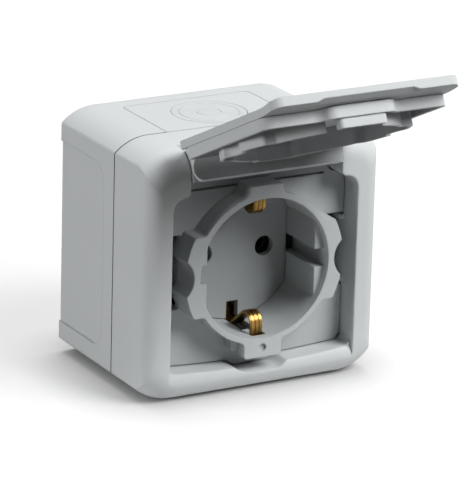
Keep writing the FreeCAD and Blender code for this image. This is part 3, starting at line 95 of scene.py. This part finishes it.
class MaterialKit:
    """A material under construction, with the few node groups that the finishes use."""

    RAMP_STOPS = (0.3, 0.7)
    EDGE_SAMPLES = 4
    MIX_COLOUR_A, MIX_COLOUR_B, MIX_COLOUR_OUT = 6, 7, 2

    def __init__(self, name: str) -> None:
        """Start an empty material on a principled shader.

        Args:
            name: Material name.
        """
        self.material = bpy.data.materials.new(name)
        self.material.use_nodes = True
        self.tree = self.material.node_tree
        self.shader = self.tree.nodes["Principled BSDF"]
        self.place = self.node("ShaderNodeTexCoord").outputs["Object"]

    def node(self, kind: str) -> bpy.types.Node:
        """Add one node."""
        return self.tree.nodes.new(kind)

    def feed(self, target: Socket, source: Socket | float) -> None:
        """Link a socket to another one, or give it a fixed value.

        Args:
            target: Input socket.
            source: Output socket or number.
        """
        if isinstance(source, bpy.types.NodeSocket):
            self.tree.links.new(source, target)
        else:
            target.default_value = source

    def maths(self, operation: str, first: Socket, second: Socket | float) -> Socket:
        """Work out a number from two others.

        Args:
            operation: Name of the operation.
            first: First value.
            second: Second value.

        Returns:
            The result's socket.
        """
        node = self.node("ShaderNodeMath")
        node.operation = operation
        self.feed(node.inputs[0], first)
        self.feed(node.inputs[1], second)
        return node.outputs["Value"]

    def fade(
        self, value: Socket, start: float, end: float, before: Socket | float, after: float
    ) -> Socket:
        """Change evenly from one value to another while a driving value rises.

        Args:
            value: Driving value.
            start: Driving value at which the change begins.
            end: Driving value at which it is complete.
            before: Result up to the start.
            after: Result from the end on.

        Returns:
            The result's socket.
        """
        node = self.node("ShaderNodeMapRange")
        self.feed(node.inputs["Value"], value)
        self.feed(node.inputs["From Min"], start)
        self.feed(node.inputs["From Max"], end)
        self.feed(node.inputs["To Min"], before)
        self.feed(node.inputs["To Max"], after)
        return node.outputs["Result"]

    def distance(self, centre: Triple) -> Socket:
        """Measure the distance from a point.

        Args:
            centre: The point in metres.

        Returns:
            The distance's socket.
        """
        node = self.node("ShaderNodeVectorMath")
        node.operation = "DISTANCE"
        self.feed(node.inputs[0], self.place)
        node.inputs[1].default_value = centre
        return node.outputs["Value"]

    def noise(self, scale: float, detail: float, stretch: Triple = (1.0, 1.0, 1.0)) -> Socket:
        """Add noise on object coordinates.

        Args:
            scale: Features per metre.
            detail: Octaves of the noise.
            stretch: Extra scale on each axis.

        Returns:
            The noise value's socket.
        """
        spread = self.node("ShaderNodeMapping")
        spread.inputs["Scale"].default_value = stretch
        self.feed(spread.inputs["Vector"], self.place)
        texture = self.node("ShaderNodeTexNoise")
        self.feed(texture.inputs["Scale"], scale)
        self.feed(texture.inputs["Detail"], detail)
        self.feed(texture.inputs["Vector"], spread.outputs["Vector"])
        return texture.outputs["Fac"]

    def ramp(self, value: Socket, deep: Triple, light: Triple) -> Socket:
        """Turn a value into a colour between two tones.

        Args:
            value: Driving value.
            deep: Colour of the low values.
            light: Colour of the high values.

        Returns:
            The colour's socket.
        """
        node = self.node("ShaderNodeValToRGB")
        for stop, place, tone in zip(node.color_ramp.elements, self.RAMP_STOPS, (deep, light)):
            stop.position = place
            stop.color = (*tone, 1.0)
        self.feed(node.inputs["Fac"], value)
        return node.outputs["Color"]

    def line(self, colour: Socket, depth: float, width: float, tone: Triple) -> Socket:
        """Paint shade into the faces of a joint that runs round at one depth, as a darker
        colour.

        Args:
            colour: Colour outside the joint.
            depth: Depth of the joint from the wall face in metres.
            width: Width of the joint in metres.
            tone: Colour of the painted shade in the joint.

        Returns:
            The colour's socket.
        """
        parts = self.node("ShaderNodeSeparateXYZ")
        self.feed(parts.inputs["Vector"], self.place)
        joint_shade_mask = self.node("ShaderNodeMath")
        joint_shade_mask.operation = "COMPARE"
        self.feed(joint_shade_mask.inputs[0], parts.outputs["Y"])
        joint_shade_mask.inputs[1].default_value = -depth
        joint_shade_mask.inputs[2].default_value = width / 2
        mix = self.node("ShaderNodeMix")
        mix.data_type = "RGBA"
        self.feed(mix.inputs["Factor"], joint_shade_mask.outputs["Value"])
        self.feed(mix.inputs[self.MIX_COLOUR_A], colour)
        mix.inputs[self.MIX_COLOUR_B].default_value = (*tone, 1.0)
        return mix.outputs[self.MIX_COLOUR_OUT]

    def bump(self, height: Socket, depth: float, edge: float = 0.0) -> None:
        """Drive the surface normal by a height, on softened edges where asked.

        Args:
            height: Height's socket.
            depth: Full height in metres.
            edge: Radius of the softened edges in metres, 0 for none.
        """
        node = self.node("ShaderNodeBump")
        node.inputs["Strength"].default_value = 1.0
        node.inputs["Distance"].default_value = depth
        self.feed(node.inputs["Height"], height)
        if edge > 0.0:
            soften = self.node("ShaderNodeBevel")
            soften.samples = self.EDGE_SAMPLES
            soften.inputs["Radius"].default_value = edge
            self.feed(node.inputs["Normal"], soften.outputs["Normal"])
        self.feed(self.shader.inputs["Normal"], node.outputs["Normal"])


@dataclass(frozen=True)
class MouldedPlastic:
    """Light moulded plastic with a fine spark-eroded grain.

    Attributes:
        name: Material name.
        colour: Linear base colour.
        gloss: Surface roughness option.
        shine: Strength of the shader's specular layer.
        grain: Grain features per metre.
        grain_detail: Octaves of the grain.
        grain_depth: Height of the grain in metres.
        drift: Strength of the slow lightness change over a moulding.
        drift_scale: Features of that change per metre.
        drift_detail: Octaves of that change.
        edge: Radius of the softened edges in metres.
        joint: Depth from the wall face in metres of a joint whose faces are painted dark as
            shade, 0 for none.
        joint_width: Width of that painted shade in metres.
        joint_shade_tone: Linear colour of the painted shade in that joint.
    """

    name: str
    colour: Triple
    gloss: Gloss = Gloss.EGGSHELL
    shine: float = 0.12
    grain: float = 2600.0
    grain_detail: float = 2.0
    grain_depth: float = 0.006 * MM
    drift: float = 0.03
    drift_scale: float = 22.0
    drift_detail: float = 3.0
    edge: float = 0.45 * MM
    joint: float = 0.0
    joint_width: float = 0.34 * MM
    joint_shade_tone: Triple = (0.01, 0.01, 0.011)

    def material(self) -> bpy.types.Material:
        """Build the node tree.

        Returns:
            The finished material.
        """
        kit = MaterialKit(self.name)
        shade = kit.ramp(
            kit.noise(self.drift_scale, self.drift_detail),
            scaled(self.colour, 1.0 - self.drift), scaled(self.colour, 1.0 + self.drift),
        )
        # Painted shade: the faces of the joint are coloured dark, as the shade in the seam.
        if self.joint > 0.0:
            shade = kit.line(shade, self.joint, self.joint_width, self.joint_shade_tone)
        kit.feed(kit.shader.inputs["Base Color"], shade)
        kit.shader.inputs["Roughness"].default_value = self.gloss.value
        kit.shader.inputs["Specular IOR Level"].default_value = self.shine
        kit.bump(kit.noise(self.grain, self.grain_detail), self.grain_depth, self.edge)
        return kit.material


@dataclass(frozen=True)
class SoftRubber:
    """Matt elastomer of seals and the cable membrane.

    Attributes:
        name: Material name.
        colour: Linear base colour.
        mottle: Strength of the lightness change over the surface.
        mottle_scale: Features of that change per metre.
        mottle_detail: Octaves of that change.
        bloom: Features of the fine bloom per metre.
        bloom_detail: Octaves of the bloom.
        bloom_depth: Height of the bloom in metres.
    """

    name: str
    colour: Triple
    mottle: float = 0.05
    mottle_scale: float = 160.0
    mottle_detail: float = 4.0
    bloom: float = 1800.0
    bloom_detail: float = 3.0
    bloom_depth: float = 0.004 * MM

    def material(self) -> bpy.types.Material:
        """Build the node tree.

        Returns:
            The finished material.
        """
        kit = MaterialKit(self.name)
        kit.feed(kit.shader.inputs["Base Color"], kit.ramp(
            kit.noise(self.mottle_scale, self.mottle_detail),
            scaled(self.colour, 1.0 - self.mottle), scaled(self.colour, 1.0 + self.mottle),
        ))
        kit.shader.inputs["Roughness"].default_value = Gloss.MATT.value
        kit.bump(kit.noise(self.bloom, self.bloom_detail), self.bloom_depth)
        return kit.material


@dataclass(frozen=True)
class BrightMetal:
    """Plated or bare metal with faint drawing marks along one axis.

    Attributes:
        name: Material name.
        colour: Linear base colour.
        roughness: Surface roughness.
        marks: Drawing marks per metre on each axis.
        marks_detail: Octaves of the marks.
        marks_depth: Height of the marks in metres.
        tarnish: Darkening of the deepest patches.
        patches: Tarnished patches per metre.
        patches_detail: Octaves of the patches.
    """

    name: str
    colour: Triple
    roughness: float
    marks: Triple
    marks_detail: float = 3.0
    marks_depth: float = 0.004 * MM
    tarnish: float = 0.2
    patches: float = 420.0
    patches_detail: float = 4.0

    def material(self) -> bpy.types.Material:
        """Build the node tree.

        Returns:
            The finished material.
        """
        kit = MaterialKit(self.name)
        kit.feed(kit.shader.inputs["Base Color"], kit.ramp(
            kit.noise(self.patches, self.patches_detail),
            scaled(self.colour, 1.0 - self.tarnish), self.colour,
        ))
        kit.shader.inputs["Metallic"].default_value = 1.0
        kit.shader.inputs["Roughness"].default_value = self.roughness
        kit.bump(kit.noise(1.0, self.marks_detail, self.marks), self.marks_depth)
        return kit.material


@dataclass(frozen=True)
class Finishes:
    """Every finish of the object, ready to be built once."""

    # The seam between back box and front frame is painted near black as shade.
    shell: MouldedPlastic = MouldedPlastic(
        "shell_plastic", (0.478, 0.496, 0.500), edge=0.8 * MM, joint=31.4 * MM
    )
    # The shell's plastic, painted darker here as the shade in the recess.
    insert: MouldedPlastic = MouldedPlastic("insert_plastic", (0.390, 0.408, 0.412))
    # The same plastic again, painted darker still as the shade deep in the well.
    floor: MouldedPlastic = MouldedPlastic("well_floor_painted_shade", (0.335, 0.352, 0.356))
    cover: MouldedPlastic = MouldedPlastic("cover_plastic", (0.455, 0.473, 0.477))
    base: MouldedPlastic = MouldedPlastic("base_plastic", (0.022, 0.022, 0.024), Gloss.MATT)
    membrane: SoftRubber = SoftRubber("membrane_rubber", (0.445, 0.460, 0.462))
    seal: SoftRubber = SoftRubber("seal_rubber", (0.020, 0.020, 0.022))
    brass: BrightMetal = BrightMetal(
        "clip_brass", (0.34, 0.205, 0.060), 0.33, (900.0, 60.0, 60.0), tarnish=0.6
    )
    # Brass painted nearly black, as the shade behind the pin holes.
    sleeve: BrightMetal = BrightMetal(
        "sleeve_brass_painted_shade", (0.070, 0.045, 0.018), 0.45, (60.0, 900.0, 60.0)
    )
    zinc: BrightMetal = BrightMetal(
        "zinc_plate", (0.60, 0.61, 0.62), 0.34, (300.0, 300.0, 300.0)
    )


class Wardrobe:
    """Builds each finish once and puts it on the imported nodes."""

    def __init__(self, finishes: Finishes) -> None:
        """Build the materials.

        Args:
            finishes: The finishes of the object.
        """
        self.shell = finishes.shell.material()
        self.insert = finishes.insert.material()
        self.floor = finishes.floor.material()
        self.cover = finishes.cover.material()
        self.base = finishes.base.material()
        self.membrane = finishes.membrane.material()
        self.seal = finishes.seal.material()
        self.brass = finishes.brass.material()
        self.sleeve = finishes.sleeve.material()
        self.zinc = finishes.zinc.material()

    def dress(self, names: tuple[str, ...], material: bpy.types.Material) -> None:
        """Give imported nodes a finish.

        Args:
            names: Node names.
            material: The finish.
        """
        for name in names:
            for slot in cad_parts[name].material_slots:
                slot.material = material
            LOG.info("%s in %s", name, material.name)


class RingTree:
    """Geometry Nodes group that lays evenly shaped beads on concentric circles."""

    RING_POINTS = 96
    SECTION_POINTS = 10

    def __init__(self, name: str) -> None:
        """Build the group with named inputs.

        Args:
            name: Name of the group.
        """
        self.group = bpy.data.node_groups.new(name, "GeometryNodeTree")
        face = self.group.interface
        face.new_socket("Geometry", in_out="INPUT", socket_type="NodeSocketGeometry")
        for label in ("Inner Radius", "Ring Step", "Bead Radius", "Axis Y", "Level"):
            face.new_socket(label, in_out="INPUT", socket_type="NodeSocketFloat")
        face.new_socket("Rings", in_out="INPUT", socket_type="NodeSocketInt")
        face.new_socket("Finish", in_out="INPUT", socket_type="NodeSocketMaterial")
        face.new_socket("Geometry", in_out="OUTPUT", socket_type="NodeSocketGeometry")
        self._wire()

    def _node(self, kind: str) -> bpy.types.Node:
        """Add one node."""
        return self.group.nodes.new(kind)

    def _wire(self) -> None:
        """Wire points to circles, circles to beads, and beads to the finish."""
        link = self.group.links.new
        given = self._node("NodeGroupInput").outputs
        points = self._node("GeometryNodePoints")
        link(given["Rings"], points.inputs["Count"])
        place = self._node("ShaderNodeCombineXYZ")
        link(given["Axis Y"], place.inputs["Y"])
        link(given["Level"], place.inputs["Z"])
        link(place.outputs["Vector"], points.inputs["Position"])
        index = self._node("GeometryNodeInputIndex")
        grow = self._node("ShaderNodeMath")
        grow.operation = "MULTIPLY_ADD"
        link(index.outputs["Index"], grow.inputs[0])
        link(given["Ring Step"], grow.inputs[1])
        link(given["Inner Radius"], grow.inputs[2])
        circle = self._node("GeometryNodeCurvePrimitiveCircle")
        circle.inputs["Resolution"].default_value = self.RING_POINTS
        circle.inputs["Radius"].default_value = 1.0
        copies = self._node("GeometryNodeInstanceOnPoints")
        link(points.outputs["Points"], copies.inputs["Points"])
        link(circle.outputs["Curve"], copies.inputs["Instance"])
        link(grow.outputs["Value"], copies.inputs["Scale"])
        laid = self._node("GeometryNodeRealizeInstances")
        link(copies.outputs["Instances"], laid.inputs["Geometry"])
        section = self._node("GeometryNodeCurvePrimitiveCircle")
        section.inputs["Resolution"].default_value = self.SECTION_POINTS
        link(given["Bead Radius"], section.inputs["Radius"])
        beads = self._node("GeometryNodeCurveToMesh")
        link(laid.outputs["Geometry"], beads.inputs["Curve"])
        link(section.outputs["Curve"], beads.inputs["Profile Curve"])
        joined = self._node("GeometryNodeRealizeInstances")
        link(beads.outputs["Mesh"], joined.inputs["Geometry"])
        finish = self._node("GeometryNodeSetMaterial")
        link(joined.outputs["Geometry"], finish.inputs["Geometry"])
        link(given["Finish"], finish.inputs["Material"])
        link(finish.outputs["Geometry"], self._node("NodeGroupOutput").inputs["Geometry"])

    def mesh(self, name: str, values: dict[str, object]) -> bpy.types.Object:
        """Run the group and keep its result as a plain mesh.

        Args:
            name: Name of the piece.
            values: Input values by name.

        Returns:
            The piece, at the origin.
        """
        host = bpy.data.objects.new(name + "_host", bpy.data.meshes.new(name + "_host"))
        bpy.context.scene.collection.objects.link(host)
        modifier = host.modifiers.new("rings", "NODES")
        modifier.node_group = self.group
        for item in self.group.interface.items_tree:
            if item.item_type == "SOCKET" and item.in_out == "INPUT" and item.name in values:
                modifier[item.identifier] = values[item.name]
        graph = bpy.context.evaluated_depsgraph_get()
        mesh = bpy.data.meshes.new_from_object(host.evaluated_get(graph))
        bpy.data.objects.remove(host)
        mesh.name = name
        piece = bpy.data.objects.new(name, mesh)
        bpy.context.scene.collection.objects.link(piece)
        for polygon in mesh.polygons:
            polygon.use_smooth = True
        return piece


@dataclass
class Housing:
    """Back box, front frame and cable entries.

    Attributes:
        shell_nodes: Nodes in the shell plastic.
        membrane_nodes: Soft membrane of the upper cable entry.
        seal_nodes: Black seals inside the housing.
        screw_nodes: Plated screws of the frame.
        rings: Beads of the cable membrane.
        inner_radius: Radius of the smallest bead circle in metres.
        ring_step: Distance from one bead circle to the next in metres.
        bead: Radius of a bead in metres.
    """

    shell_nodes: tuple[str, ...] = (
        "back_box", "front_frame", "entry_plate_top", "entry_plate_bottom",
    )
    membrane_nodes: tuple[str, ...] = ("entry_membrane_top",)
    seal_nodes: tuple[str, ...] = ("box_gasket", "wall_screw_seals")
    screw_nodes: tuple[str, ...] = ("frame_screws",)
    rings: int = 2
    inner_radius: float = 3.40 * MM
    ring_step: float = 4.95 * MM
    bead: float = 0.13 * MM

    def dress(self, wardrobe: Wardrobe) -> None:
        """Put the finishes on the housing's nodes.

        Args:
            wardrobe: The built finishes.
        """
        wardrobe.dress(self.shell_nodes, wardrobe.shell)
        wardrobe.dress(self.membrane_nodes, wardrobe.membrane)
        wardrobe.dress(self.seal_nodes, wardrobe.seal)
        wardrobe.dress(self.screw_nodes, wardrobe.zinc)

    def build(self, wardrobe: Wardrobe) -> bpy.types.Object:
        """Lay the beads of the membrane in its grooves.

        Args:
            wardrobe: The built finishes.

        Returns:
            The ring beads.
        """
        low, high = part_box("entry_membrane_top")
        beads = RingTree("membrane_rings").mesh("membrane_beads", {
            "Inner Radius": self.inner_radius,
            "Ring Step": self.ring_step,
            "Bead Radius": self.bead,
            "Axis Y": (low[1] + high[1]) / 2,
            "Level": high[2] - self.bead,
            "Rings": self.rings,
            "Finish": wardrobe.membrane,
        })
        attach(beads, HOUSING_BODY)
        return beads


@dataclass
class SocketWell:
    """Recess plate with the collar, floor of the well, and the contacts behind it.

    Attributes:
        collar_nodes: Recess plate with the lobed collar, its plastic painted darker as the
            recess's shade.
        floor_nodes: Separate floor of the well, its plastic painted darker as the well's shade.
        base_nodes: Insulating base behind the floor.
        clip_nodes: Bright brass strap with the earth clips.
        sleeve_nodes: Brass pin sleeves, painted nearly black as the shade behind the pin holes.
        plated_nodes: Plated terminals, screws and hinge pins.
    """

    collar_nodes: tuple[str, ...] = ("collar_insert",)
    floor_nodes: tuple[str, ...] = ("well_floor",)
    base_nodes: tuple[str, ...] = ("socket_base",)
    clip_nodes: tuple[str, ...] = ("earth_bow",)
    sleeve_nodes: tuple[str, ...] = ("contact_left", "contact_right")
    plated_nodes: tuple[str, ...] = (
        "terminal_left", "terminal_right", "terminal_earth", "terminal_screws", "base_screws",
        "hinge_pin_left", "hinge_pin_right",
    )

    def dress(self, wardrobe: Wardrobe) -> None:
        """Put the finishes on the well's nodes.

        Args:
            wardrobe: The built finishes.
        """
        wardrobe.dress(self.collar_nodes, wardrobe.insert)
        # The well floor gets plastic painted darker as shade.
        wardrobe.dress(self.floor_nodes, wardrobe.floor)
        wardrobe.dress(self.base_nodes, wardrobe.base)
        wardrobe.dress(self.clip_nodes, wardrobe.brass)
        wardrobe.dress(self.sleeve_nodes, wardrobe.sleeve)
        wardrobe.dress(self.plated_nodes, wardrobe.zinc)


@dataclass
class WeatherLid:
    """Hinged lid with its inner tray.

    Attributes:
        cover_nodes: Nodes in the cover plastic.
    """

    cover_nodes: tuple[str, ...] = ("lid", "lid_inner_frame")

    def dress(self, wardrobe: Wardrobe) -> None:
        """Put the finish on the lid's nodes.

        Args:
            wardrobe: The built finishes.
        """
        wardrobe.dress(self.cover_nodes, wardrobe.cover)


@dataclass(frozen=True)
class FloorPaper:
    """Studio paper that looks white and keeps the shadow, but lights the object little.

    Attributes:
        name: Material name.
        roughness: Surface roughness.
        white: Reflectance where the paper is seen.
        bounce: Reflectance towards the object.
        near_bounce: The same close in front of the object.
        near_start: Distance at which the near bounce begins to fall, in metres.
        near_end: Distance at which it has fallen, in metres.
        lift: Light that the paper adds where it is seen near the object.
        far_lift: The same far away, where 1 is white.
        far_start: Distance at which the lift begins to grow, in metres.
        far_end: Distance at which it is white, in metres.
        contact_reach: How far the painted contact shadow under the object reaches, in metres.
        contact_depth: How dark that painted shadow is.
    """

    name: str = "floor_paper"
    roughness: float = 0.9
    white: float = 0.36
    bounce: float = 0.12
    near_bounce: float = 0.78
    near_start: float = 0.03
    near_end: float = 0.07
    lift: float = 0.59
    far_lift: float = 1.0
    far_start: float = 0.25
    far_end: float = 0.9
    contact_reach: float = 0.02
    contact_depth: float = 1.25

    def material(self, centre: Triple) -> bpy.types.Material:
        """Build the node tree.

        Args:
            centre: Point in front of the object from which the distances count.

        Returns:
            The finished material.
        """
        kit = MaterialKit(self.name)
        kit.shader.inputs["Roughness"].default_value = self.roughness
        kit.shader.inputs["Specular IOR Level"].default_value = 0.0
        shown = seen_directly(kit.tree)
        apart = kit.distance(centre)
        bounce = kit.fade(apart, self.near_start, self.near_end, self.near_bounce, self.bounce)
        kit.feed(kit.shader.inputs["Base Color"], kit.fade(shown, 0.0, 1.0, bounce, self.white))
        lift = kit.fade(apart, self.far_start, self.far_end, self.lift, self.far_lift)
        # Painted contact shadow: the paper's glow is darkened by ambient occlusion close to the
        # object.
        painted_contact_shadow = kit.node("ShaderNodeAmbientOcclusion")
        painted_contact_shadow.inputs["Distance"].default_value = self.contact_reach
        glow = kit.node("ShaderNodeEmission")
        kit.feed(
            glow.inputs["Color"], kit.maths("POWER", painted_contact_shadow.outputs["AO"], self.contact_depth)
        )
        kit.feed(glow.inputs["Strength"], kit.maths("MULTIPLY", shown, lift))
        both = kit.node("ShaderNodeAddShader")
        kit.feed(both.inputs[0], kit.shader.outputs["BSDF"])
        kit.feed(both.inputs[1], glow.outputs["Emission"])
        output = kit.tree.nodes["Material Output"]
        kit.feed(output.inputs["Surface"], both.outputs["Shader"])
        return kit.material


@dataclass(frozen=True)
class SoftLight:
    """One rectangular softbox.

    Attributes:
        name: Lamp name.
        place: Position in metres.
        target: Point that it faces.
        size: Width and height in metres.
        power: Power in watts.
    """

    name: str
    place: Triple
    target: Triple
    size: tuple[float, float]
    power: float

    def build(self) -> bpy.types.Object:
        """Make the lamp and turn it to its target.

        Returns:
            The lamp object.
        """
        data = bpy.data.lights.new(self.name, "AREA")
        data.shape = "RECTANGLE"
        data.size, data.size_y = self.size
        data.energy = self.power
        lamp = bpy.data.objects.new(self.name, data)
        lamp.location = self.place
        aim = Vector(self.target) - Vector(self.place)
        lamp.rotation_euler = aim.to_track_quat("-Z", "Y").to_euler()
        bpy.context.scene.collection.objects.link(lamp)
        return lamp


@dataclass
class Studio:
    """Pale floor, white backdrop and softboxes.

    Attributes:
        floor_span: Side of the floor in metres.
        floor_level: Height of the floor in metres, just under the object.
        front_edge: Y of the point in front of the object from which the paper's distances count.
        paper: Finish of the floor.
        lights: The softboxes.
    """

    floor_span: float = 8.0
    floor_level: float = -35.05 * MM
    front_edge: float = -65.0 * MM
    paper: FloorPaper = FloorPaper()
    lights: tuple[SoftLight, ...] = (
        SoftLight("top_softbox", (0.05, 0.25, 0.87), (0.0, -0.03, 0.0), (0.6, 0.5), 4.4),
        SoftLight("right_softbox", (0.38, -0.59, 0.62), (0.0, -0.04, 0.0), (0.5, 0.5), 12.3),
        SoftLight("left_softbox", (-0.95, 0.02, 0.14), (0.0, -0.03, 0.0), (0.4, 0.25), 5.6),
    )

    def build(self) -> None:
        """Build the floor, the world and the lamps."""
        self._floor()
        self._world()
        for light in self.lights:
            LOG.info("built %s", light.build().name)

    def _floor(self) -> None:
        """Lay the floor under the object."""
        half = self.floor_span / 2
        square = [(-half, -half), (half, -half), (half, half), (-half, half)]
        mesh = bpy.data.meshes.new("studio_floor")
        mesh.from_pydata([(x, y, self.floor_level) for x, y in square], [], [(0, 1, 2, 3)])
        mesh.materials.append(self.paper.material((0.0, self.front_edge, self.floor_level)))
        floor = bpy.data.objects.new("studio_floor", mesh)
        bpy.context.scene.collection.objects.link(floor)

    def _world(self) -> None:
        """Show a white backdrop that adds no light to the object."""
        world = bpy.data.worlds.new("studio_world")
        world.use_nodes = True
        tree = world.node_tree
        sky = tree.nodes["Background"]
        sky.inputs["Color"].default_value = (1.0, 1.0, 1.0, 1.0)
        tree.links.new(seen_directly(tree), sky.inputs["Strength"])
        bpy.context.scene.world = world


@dataclass(frozen=True)
class ViewPoint:
    """Camera at the photograph's viewing angle.

    Attributes:
        yaw: Turn to the left of straight on, in degrees.
        pitch: Height above the horizon, in degrees.
        roll: Tilt of the camera, in degrees.
        distance: Distance from the aim point along the view, in metres.
        focal: Focal length in pixels of the photograph.
        slide: Sideways and upward offset of the camera in its own plane, in metres.
        aim: Point in front of the collar from which the distance counts.
        sensor: Width of the camera's sensor in millimetres.
        clip: Nearest and farthest distance that the camera shows, in metres.
    """

    yaw: float = 29.63
    pitch: float = 18.18
    roll: float = 1.59
    distance: float = 1.04758
    focal: float = 3904.85
    slide: tuple[float, float] = (-0.00835, 0.00784)
    aim: Triple = (0.0, -0.052, 0.0)
    sensor: float = 36.0
    clip: tuple[float, float] = (0.05, 30.0)

    def build(self) -> bpy.types.Object:
        """Make the camera and set it as the scene's own.

        Returns:
            The camera object.
        """
        yaw, pitch, roll = (math.radians(angle) for angle in (self.yaw, self.pitch, self.roll))
        back = Vector((
            -math.sin(yaw) * math.cos(pitch), -math.cos(yaw) * math.cos(pitch), math.sin(pitch)
        ))
        level = Vector((math.cos(yaw), -math.sin(yaw), 0.0))
        upright = level.cross(-back)
        right = math.cos(roll) * level + math.sin(roll) * upright
        up = -math.sin(roll) * level + math.cos(roll) * upright
        place = Vector(self.aim) + back * self.distance
        place += right * self.slide[0] + up * self.slide[1]
        data = bpy.data.cameras.new("view_camera")
        data.sensor_fit = "HORIZONTAL"
        data.sensor_width = self.sensor
        data.lens = self.focal * self.sensor / IMAGE_WIDTH
        data.clip_start, data.clip_end = self.clip
        camera = bpy.data.objects.new("view_camera", data)
        turn = Matrix((right, up, back)).transposed().to_4x4()
        camera.matrix_world = Matrix.Translation(place) @ turn
        bpy.context.scene.collection.objects.link(camera)
        bpy.context.scene.camera = camera
        return camera


def main() -> None:
    """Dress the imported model, add its small pieces, and set up the studio."""
    logging.basicConfig(level=logging.INFO, format="%(name)s: %(message)s")
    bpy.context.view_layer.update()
    wardrobe = Wardrobe(Finishes())
    housing = Housing()
    housing.dress(wardrobe)
    LOG.info("built %s", housing.build(wardrobe).name)
    SocketWell().dress(wardrobe)
    WeatherLid().dress(wardrobe)
    Studio().build()
    LOG.info("built %s", ViewPoint().build().name)
    bpy.context.scene.view_settings.view_transform = "Standard"


if __name__ == "__main__":
    main()
